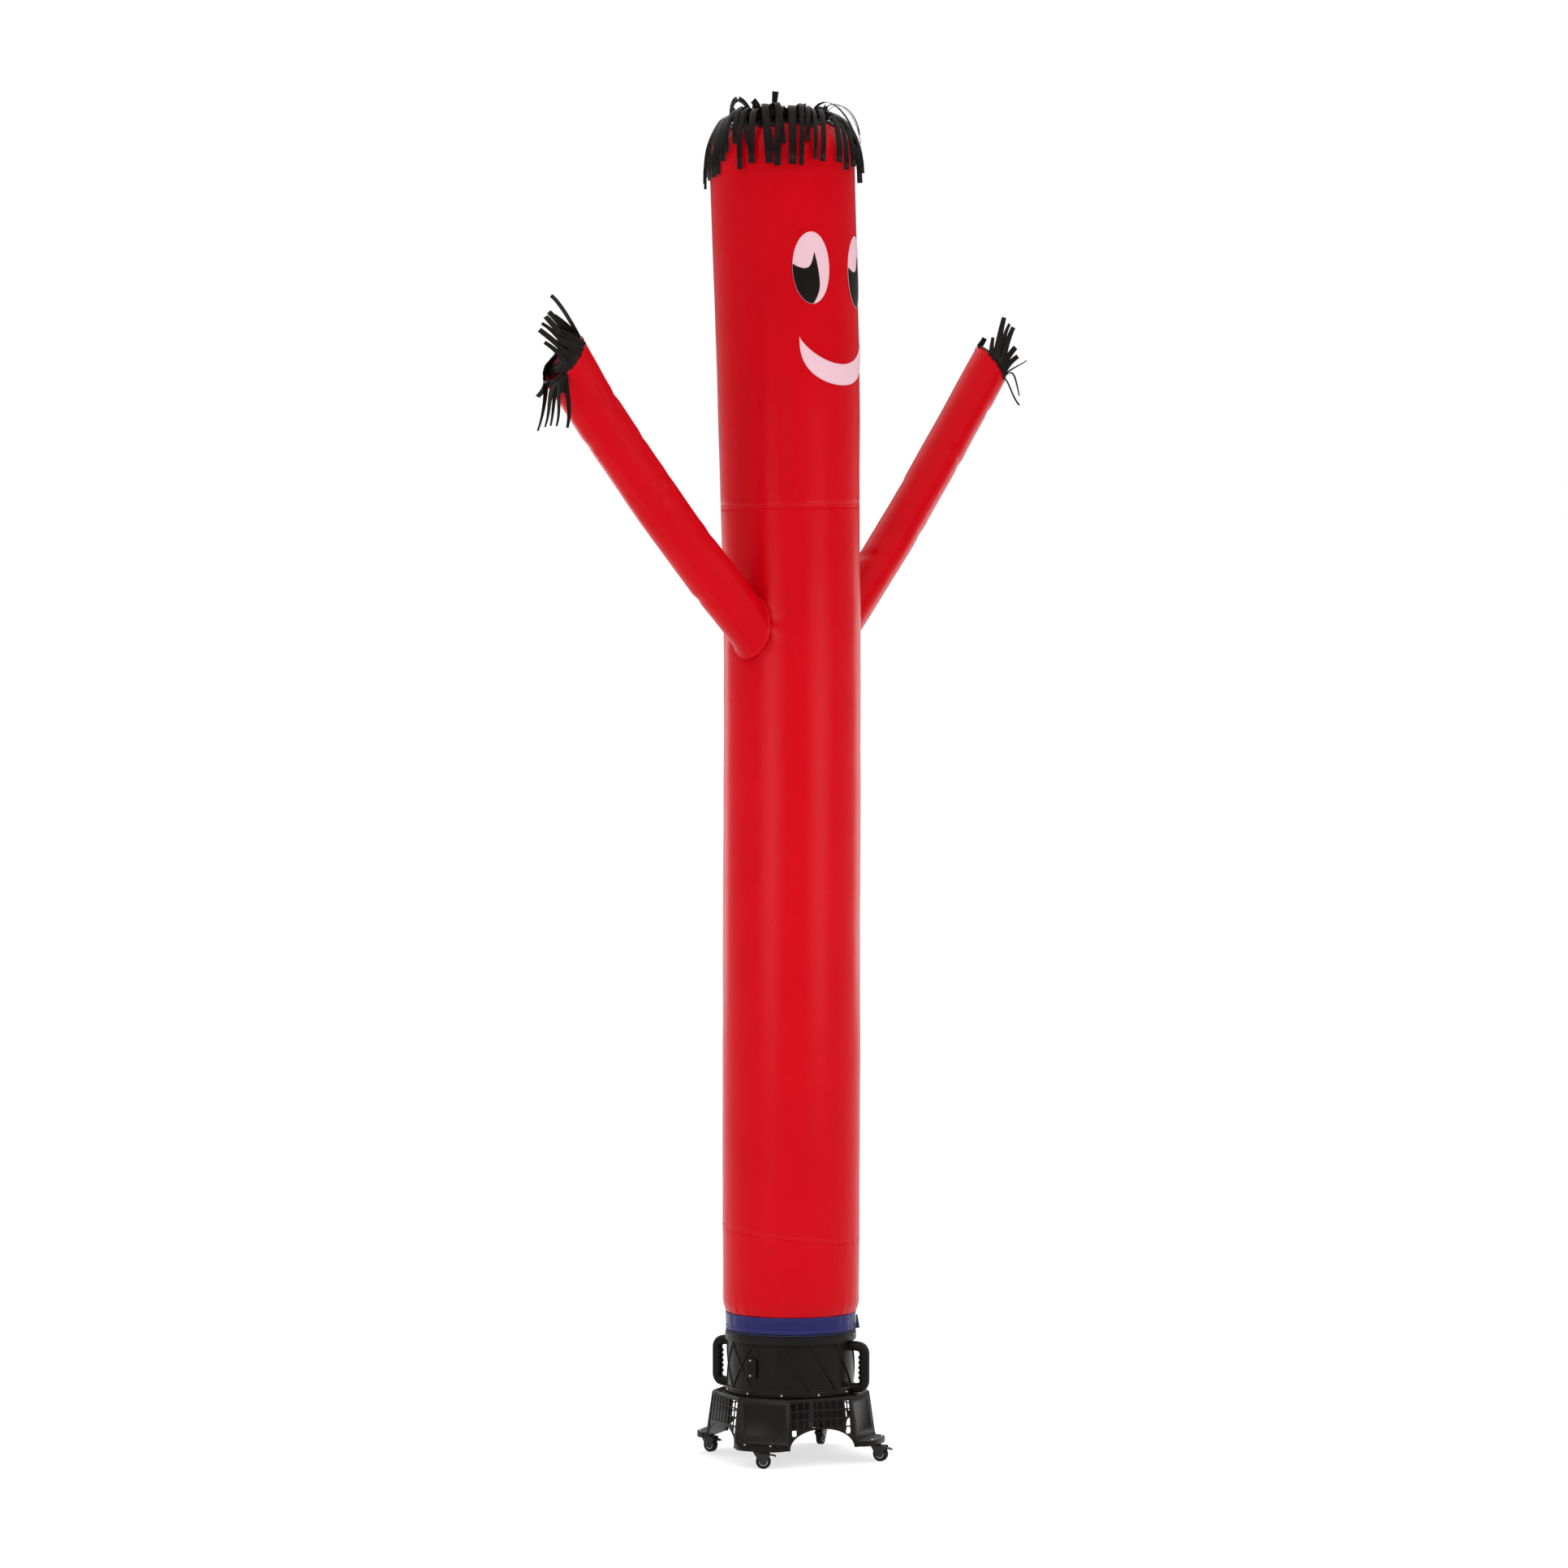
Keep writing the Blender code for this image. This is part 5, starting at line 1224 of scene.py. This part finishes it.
bead = [(0.2203, 0.4085), (0.2212, 0.4095), (0.2212, 0.4115), (0.2203, 0.4125)]
settle(turnedPiece("outletRing", rounded(ring, 0.0020, 4), drumShape["steps"], blackPlastic),
       "black_plastic", "outlet_ring")
settle(turnedPiece("outletBead", rounded(bead, 0.0006, 2), drumShape["steps"], blackPlastic), "black_plastic")
screws("flangeScrews", spotsRound(drumShape["screwCount"], drumShape["screwStart"], flange + 0.0008,
                                  drumShape["screwHigh"]), boltMetal, 0.0040, 0.0020)
screws("ringScrews", spotsRound(drumShape["ringCount"], drumShape["ringStart"], flange + 0.0006,
                                drumShape["ringHigh"]), forkMetal, 0.0032, 0.0016)
print("drum made")

# handles: a bow of distance out and height, with finger grooves towards the hand
handleShape = dict(half=(0.0163, 0.0172), corner=0.8, middle=0.312, gripHalf=0.046, gripFrom=0.262,
                   finger=0.0172, groove=0.0054)
handleLine = ((0.2130, 0.3835), (0.236, 0.3835), (0.2545, 0.3790), (0.2635, 0.3660), (0.2648, 0.3480),
              (0.2648, 0.3120), (0.2648, 0.2760), (0.2635, 0.2600), (0.2545, 0.2470), (0.236, 0.2425),
              (0.2215, 0.2425))


def closeEnds(work):
    bmesh.ops.holes_fill(work, edges=[e for e in work.edges if e.is_boundary], sides=0)


def makeHandle(label, turn):
    path = smoothLine(handleLine, 12)
    ways = np.gradient(path, axis=0)
    ways /= np.linalg.norm(ways, axis=1)[:, None]
    out, side = bearing(turn), np.cross(zAxis, bearing(turn))
    a = fullTurn(28)
    c, s = (np.sign(wave) * np.abs(wave) ** handleShape["corner"] for wave in (np.cos(a), np.sin(a)))
    rows = []
    for (r, z), (dr, dz) in zip(path, ways):
        n = out * dz - zAxis * dr                       # towards the hand all along the bow
        away = z - handleShape["middle"]
        grip = np.clip((handleShape["gripHalf"] - abs(away)) / 0.008, 0, 1) * (r > handleShape["gripFrom"])
        wave = 0.5 + 0.5 * math.cos(2 * math.pi * away / handleShape["finger"])
        inwards = np.clip(-(n @ out) * c, 0, 1) ** 0.8
        thick = handleShape["half"][0] * c + grip * handleShape["groove"] * wave * inwards
        rows.append(out * r + zAxis * z + n * thick[:, None] + side * (handleShape["half"][1] * s)[:, None])
    handle = gridPiece(label + "Handle", facingOut(np.array(rows), 3), gripPlastic, True, 0.1, 0.2)
    settle(smoothByAngle(edited(handle, closeEnds), 50), "black_plastic", "handle_" + label)


makeHandle("right", 45.0)
makeHandle("left", -135.0)
print("handles made")

# base: an eight-sided shell, each ring being half width, corner distance and height
baseShape = dict(rings=((0.2620, 0.2770, 0.0580), (0.2560, 0.2680, 0.0860), (0.2410, 0.2480, 0.2185),
                        (0.2370, 0.2440, 0.2240)),
                 innerFoot=(0.2605, 0.2755, 0.040), innerTop=0.2190, wall=0.0045, edge=0.0016, mouth=0.1965,
                 archWide=0.118, archTall=0.066, archFoot=0.0580, grilleCols=9, grilleRows=3,
                 pitch=(0.0243, 0.0295), hole=(0.0198, 0.0240), bar=0.0046, barDeep=0.0038, grilleMid=0.1715,
                 slot=(0.0175, 0.0225), slotAway=0.0985, slotHigh=0.1150, slotCorner=0.0055,
                 panel=(0.0040, 0.128, 0.096), panelHigh=0.150, corners=(-45.0, 45.0, 135.0, -135.0),
                 padLow=0.0582, padHigh=0.0765, padScrew=(0.309, 0.046, 0.0772))
padHalf = ((0.322, 0.035), (0.317, 0.058), (0.303, 0.078), (0.284, 0.089), (0.262, 0.089), (0.228, 0.060))
padOutline = [(x, -y) for x, y in padHalf[::-1]] + list(padHalf)


def octagon(half, cut, z):
    c = cut * math.sqrt(2) - half
    pts = [(c, -half), (half, -c), (half, c), (c, half), (-c, half), (-half, c), (-half, -c), (-c, -half)]
    return [(x, y, z) for x, y in pts]


def wallAt(z, column):                                  # how far out the sloping wall is at a height
    foot, top = baseShape["rings"][1:3]
    return float(np.interp(z, (foot[2], top[2]), (foot[column], top[column])))


def wallLean(column):
    foot, top = baseShape["rings"][1:3]
    return math.atan2(foot[column] - top[column], top[2] - foot[2])


def archTool(axis):
    rings = []
    for end in (-0.36, 0.36):
        a = 2 * math.pi * (np.arange(64) + 0.5) / 64
        u, v = baseShape["archWide"] * np.cos(a), baseShape["archFoot"] + baseShape["archTall"] * np.sin(a)
        rings.append([(end, x, z) if axis == 0 else (-x, end, z) for x, z in zip(u, v)])
    return loftPiece("tool", rings, blackPlastic)


def baseTools():
    rings, wall = baseShape["rings"], baseShape["wall"]
    inner = [baseShape["innerFoot"]] + [(half - wall, cut - wall, z) for half, cut, z in rings[:2]]
    inner.append((rings[2][0] - wall, rings[2][1] - wall, baseShape["innerTop"]))
    yield loftPiece("tool", [octagon(*ring) for ring in inner], blackPlastic)
    circle = [(baseShape["mouth"] * math.cos(a), baseShape["mouth"] * math.sin(a)) for a in fullTurn(96)]
    yield prismPiece("tool", circle, 0.195, 0.255, blackPlastic)
    yield archTool(0)
    yield archTool(1)
    wide, tall = ((count - 1) * pitch + hole for count, pitch, hole in zip(
        (baseShape["grilleCols"], baseShape["grilleRows"]), baseShape["pitch"], baseShape["hole"]))
    for turn in range(4):
        spin = Matrix.Rotation(math.radians(90 * turn), 4, "Z")
        window = boxPiece("tool", (wide, 0.06, tall), blackPlastic, (0, -0.245, baseShape["grilleMid"]))
        yield place(window, spin)
        for side in (-1, 1):
            centre = (side * baseShape["slotAway"], -0.255, baseShape["slotHigh"])
            slot = boxPiece("tool", (baseShape["slot"][0], 0.06, baseShape["slot"][1]), blackPlastic, centre)
            yield place(bevelled(slot, baseShape["slotCorner"], 4), spin)
    high = baseShape["panelHigh"]
    for az in baseShape["corners"]:                     # a shallow panel sunk in each corner's face
        spot = localFrame(az, wallAt(high, 1), high, math.degrees(wallLean(1)))
        yield place(boxPiece("tool", baseShape["panel"], blackPlastic), spot)


base = loftPiece("baseShell", [octagon(*ring) for ring in baseShape["rings"]], blackPlastic)
pads = [place(prismPiece("pad", padOutline, baseShape["padLow"], baseShape["padHigh"], blackPlastic),
              localFrame(az, 0.0, 0.0)) for az in baseShape["corners"]]
carve(base, pads, "UNION")
carve(base, list(baseTools()))
bevelled(base, baseShape["edge"], 2, 28)
settle(smoothByAngle(base, 42), "black_plastic", "base")

grilles = runTree(meshPiece("grilles", [(0, 0, 0)], [], blackPlastic), grilleTree, {
    "Columns": baseShape["grilleCols"], "Rows": baseShape["grilleRows"], "Bar Width": baseShape["bar"],
    "Pitch Across": baseShape["pitch"][0], "Pitch Up": baseShape["pitch"][1], "Finish": blackPlastic,
    "Bar Depth": baseShape["barDeep"], "Centre Height": baseShape["grilleMid"], "Lean": -wallLean(0),
    "Side Distance": wallAt(baseShape["grilleMid"], 0) - baseShape["wall"] / 2})
bevelled(grilles, 0.0007, 2, 30)
settle(smoothByAngle(grilles, 40), "black_plastic")

out, aside, high = baseShape["padScrew"]
spots = [(localFrame(az, 0.0, 0.0) @ Vector((out, side * aside, high)), (0, 0, 1))
         for az in baseShape["corners"] for side in (-1, 1)]
screws("padScrews", spots, boltMetal, 0.0042, 0.0022)
print("base made")

# switch plate, its rocker and two screws; the rocker's rings are half width, low edge, high edge and depth
switchShape = dict(turn=-61.0, radius=0.2205, height=0.3195, size=(0.0075, 0.040, 0.068),
                   pit=(0.003, 0.021, 0.030), pitDepth=0.0030, up=0.002, screwHeights=(0.0275, -0.0235),
                   rocker=((0.0095, -0.0140, 0.0140, 0.0012), (0.0088, -0.0130, 0.0020, 0.0042)))
m, up = localFrame(switchShape["turn"], switchShape["radius"], switchShape["height"]), switchShape["up"]
plate = boxPiece("switchPlate", switchShape["size"], blackPlastic)
carve(plate, [boxPiece("tool", switchShape["pit"], blackPlastic, (switchShape["pitDepth"], 0, up))])
place(bevelled(plate, 0.0012, 3, 30), m)
settle(smoothByAngle(plate, 45), "black_plastic", "switch_plate")
rings = [[(x, y, z + up) for y, z in ((-half, low), (half, low), (half, high), (-half, high))]
         for half, low, high, x in switchShape["rocker"]]
rocker = place(bevelled(loftPiece("rocker", rings, gripPlastic), 0.0006, 2, 25), m)
settle(smoothByAngle(rocker, 45), "black_plastic")
spots = [(m @ Vector((0.0045, 0.0, z)), bearing(switchShape["turn"])) for z in switchShape["screwHeights"]]
screws("plateScrews", spots, boltMetal, 0.0036, 0.0018)

for name, mat in (("motor", motorPaint), ("fan", blackPlastic)):
    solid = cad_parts[name]
    solid.data.materials.clear()
    solid.data.materials.append(mat)
print("switch made")

# castors: x runs the way the wheel trails, y across and z up, from the point under the turning pin
castorShape = dict(pivot=0.305, wheel=0.025, width=0.019, trail=0.018, cheek=0.0027, clear=0.0018,
                   pin=(0.0370, 0.0462), axleRadius=0.0031, pinRadius=0.0012, bridge=(0.052, 0.0036),
                   bridgeAt=(0.0110, 0.0535), boltSink=0.0004, webSink=0.0030, paddleHalf=0.0090,
                   ridges=4, ridgeFrom=0.0450, ridgeStep=0.0036, ridge=(0.0012, 0.0150, 0.0010),
                   places={1: (-45.0, 66.0), 2: (45.0, 40.0), 3: (135.0, -44.0), 4: (-135.0, 26.0)})
half = castorShape["width"] / 2
castorOutlines = dict(
    tyre=[(0.0152, -half), (0.0236, -half), (0.0250, -half + 0.0018), (0.0250, half - 0.0018), (0.0236, half),
          (0.0152, half)],
    hub=[(0.0034, 0.0004 - half), (0.0066, 0.0004 - half), (0.0066, 0.0034 - half), (0.0118, 0.0034 - half),
         (0.0126, 0.0004 - half), (0.0150, 0.0004 - half), (0.0150, half - 0.0004), (0.0126, half - 0.0004),
         (0.0118, half - 0.0034), (0.0066, half - 0.0034), (0.0066, half - 0.0004), (0.0034, half - 0.0004)],
    web=[(0.0068, -0.0003), (0.0116, -0.0003), (0.0116, 0.0003), (0.0068, 0.0003)],
    cheek=[(-0.0130, 0.0540), (-0.0110, 0.0480), (0.0070, 0.0195), (0.0120, 0.0158), (0.0180, 0.0140),
           (0.0240, 0.0158), (0.0290, 0.0230), (0.0405, 0.0440), (0.0405, 0.0540)],
    bolt=[(0.0046, 0.0), (0.0046, 0.0010), (0.0034, 0.0018), (0.0004, 0.0019), (0.0004, 0.0)],
    race=rounded([(0.003, 0.0546), (0.0150, 0.0546), (0.0165, 0.0558), (0.003, 0.0558)], 0.0005, 2),
    plate=rounded([(0.002, 0.0560), (0.0190, 0.0560), (0.0190, 0.0579), (0.002, 0.0579)], 0.0006, 2),
    sleeve=rounded([(0.00145, -0.0094), (0.0029, -0.0094), (0.0029, 0.0094), (0.00145, 0.0094)], 0.0003, 2),
    paddle=[(0.0392, 0.0452), (0.0470, 0.0440), (0.0560, 0.0412), (0.0598, 0.0400), (0.0611, 0.0412),
            (0.0612, 0.0428), (0.0560, 0.0456), (0.0520, 0.0468), (0.0392, 0.0484)])


def upright(ob, degrees=90.0, at=(0, 0, 0)):            # from lying flat to standing across the castor
    return place(ob, Matrix.Translation(at) @ Matrix.Rotation(math.radians(degrees), 4, "X"))


def turnedSide(name, profile, steps, mat, at):
    return upright(turnedPiece(name, profile, steps, mat), -90.0, at)


def forkParts(axle):
    cheekThick, inner = castorShape["cheek"], half + castorShape["clear"]
    width = 2 * (inner + cheekThick)
    long, thick = castorShape["bridge"]
    x, z = castorShape["bridgeAt"]
    parts = [bevelled(boxPiece("bridge", (long, width, thick), forkMetal, (x, 0, z)), 0.0014, 3, 30)]
    for side in (-1, 1):
        cheek = prismPiece("cheek", castorOutlines["cheek"], -cheekThick / 2, cheekThick / 2, forkMetal)
        parts.append(upright(bevelled(cheek, 0.0007, 2, 30), at=(0, side * (inner + cheekThick / 2), 0)))
        bolt = turnedPiece("bolt", castorOutlines["bolt"], 24, forkMetal)
        bolted = (axle[0], side * (width / 2 - castorShape["boltSink"]), axle[2])
        parts.append(upright(bolt, -90.0 * side, bolted))
    pinX, pinZ = castorShape["pin"]
    for x, z, r in ((axle[0], axle[2], castorShape["axleRadius"]), (pinX, pinZ, castorShape["pinRadius"])):
        rod = [(0.0003, -width / 2), (r, -width / 2), (r, width / 2), (0.0003, width / 2)]
        parts.append(turnedSide("rod", rod, 24, forkMetal, (x, 0, z)))
    return parts + [turnedPiece("race", castorOutlines["race"], 48, forkMetal)]


def pedalParts():
    (pinX, pinZ), wide = castorShape["pin"], castorShape["paddleHalf"]
    paddle = bevelled(prismPiece("paddle", castorOutlines["paddle"], -wide, wide, forkMetal), 0.0009, 2, 30)
    parts = [turnedSide("sleeve", castorOutlines["sleeve"], 24, forkMetal, (pinX, 0, pinZ)), upright(paddle)]
    for x in (castorShape["ridgeFrom"] + castorShape["ridgeStep"] * k for k in range(castorShape["ridges"])):
        z = float(np.interp(x, (0.0392, 0.0520, 0.0560), (0.0484, 0.0468, 0.0456)))
        ridge = bevelled(boxPiece("ridge", castorShape["ridge"], forkMetal), 0.0003, 1, 30)
        parts.append(place(ridge, Matrix.Translation((x, 0, z))))
    return parts


def makeCastor(number, corner, heading):
    spot = localFrame(heading, 0.0, 0.0)
    spot.translation = Vector(bearing(corner)) * castorShape["pivot"]
    mark, nodes = "castor%d" % number, "castor_%d_" % number
    swivel, wheel, brake = (nodes + part for part in ("swivel", "wheel", "brake"))
    axle = (castorShape["trail"], 0.0, castorShape["wheel"])

    tyre = turnedSide(mark + "Tyre", rounded(castorOutlines["tyre"], 0.0014, 4), 64, tyreRubber, axle)
    settle(place(tyre, spot), "tyre_rubber", nodes + "tyre", body=wheel)
    hub = turnedSide(mark + "Hub", rounded(castorOutlines["hub"], 0.0005, 3), 64, hubPlastic, axle)
    settle(place(hub, spot), "hub_plastic", nodes + "hub", body=wheel)
    webs = []
    for side in (-1, 1):
        web = [(r, h + side * (half - castorShape["webSink"])) for r, h in castorOutlines["web"]]
        webs.append(turnedSide("web", web, 48, tyreRubber, axle))
    settle(place(joinPieces(mark + "Web", webs), spot), "tyre_rubber", body=wheel)

    fork = place(joinPieces(mark + "Fork", forkParts(axle)), spot)
    settle(smoothByAngle(fork, 40), "fork_metal", nodes + "fork", body=swivel)
    plate = turnedPiece(mark + "Plate", castorOutlines["plate"], 64, forkMetal)
    settle(place(plate, Matrix.Translation(spot.translation)), "fork_metal", nodes + "plate")
    pedal = place(joinPieces(mark + "Pedal", pedalParts()), spot)
    settle(smoothByAngle(pedal, 40), "fork_metal", nodes + "pedal", body=brake)


for number, (corner, heading) in castorShape["places"].items():
    makeCastor(number, corner, heading)
print("castors made")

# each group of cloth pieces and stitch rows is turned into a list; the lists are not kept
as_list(lowWith)
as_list(longWith)
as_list(headWith)
for label, spec in arms.items():
    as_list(armWith[label])
for piece, rows, wide, tall, area in faceSheets:
    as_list(rows)

# floor, light and background; each strip is its bearing, height, tall, wide and watts
studio = dict(backdrop=1.0, sky=(0.15, 1.75), skyBetween=(0.10, 0.55), distance=4.0, floor=0.36,
              floorGlow=0.62, floorHalf=900,
              strips=(("keyStrip", -59.0, 2.10, 1.7, 1.5, 38.0), ("fillStrip", 22.5, 2.10, 1.7, 1.5, 38.0),
                      ("rightRim", 118.0, 2.10, 1.7, 0.65, 9.5), ("leftRim", -166.0, 2.10, 1.7, 0.65, 9.5)))
white = (1, 1, 1, 1)


def makeSky():
    world = bpy.data.worlds.new("studio")
    scene.world = world
    world.use_nodes = True
    tree = world.node_tree
    overhead = tree.nodes["Background"]                 # dim near the horizon, bright above
    way = addNode(tree, "ShaderNodeTexCoord")
    parts = addNode(tree, "ShaderNodeSeparateXYZ", {"Vector": way.outputs["Generated"]})
    glow = addRange(tree, parts.outputs["Z"], studio["skyBetween"], studio["sky"],
                    interpolation_type="SMOOTHSTEP")
    overhead.inputs["Color"].default_value = white
    tree.links.new(glow, overhead.inputs["Strength"])
    backdrop = addNode(tree, "ShaderNodeBackground", {"Color": white, "Strength": studio["backdrop"]})
    seen = addNode(tree, "ShaderNodeLightPath")
    both = addNode(tree, "ShaderNodeMixShader", {0: seen.outputs["Is Camera Ray"], 1: overhead.outputs[0],
                                                 2: backdrop.outputs[0]})
    tree.links.new(both.outputs[0], tree.nodes["World Output"].inputs["Surface"])
    scene.view_settings.view_transform = "Standard"
    scene.view_settings.look = "None"


def makeFloor():
    mat, _, shader = newMaterial("paleFloor", (studio["floor"],) * 3, 1.0, 0.0)
    shader.inputs["Emission Color"].default_value = white
    shader.inputs["Emission Strength"].default_value = studio["floorGlow"]
    h = studio["floorHalf"]
    meshPiece("floor", [(-h, -h, 0), (h, -h, 0), (h, h, 0), (-h, h, 0)], [(0, 1, 2, 3)], mat)


def addStrip(name, turn, height, tall, wide, power):
    data = bpy.data.lights.new(name, "AREA")
    data.shape, data.size, data.size_y, data.energy = "RECTANGLE", wide, tall, power
    ob = linked(name, data)
    ob.location = Vector(bearing(turn)) * studio["distance"] + Vector((0, 0, height))
    ob.rotation_euler = (math.radians(90), 0, math.radians(turn))
    ob.visible_camera = False


makeSky()
makeFloor()
for strip in studio["strips"]:
    addStrip(*strip)
print("studio set")
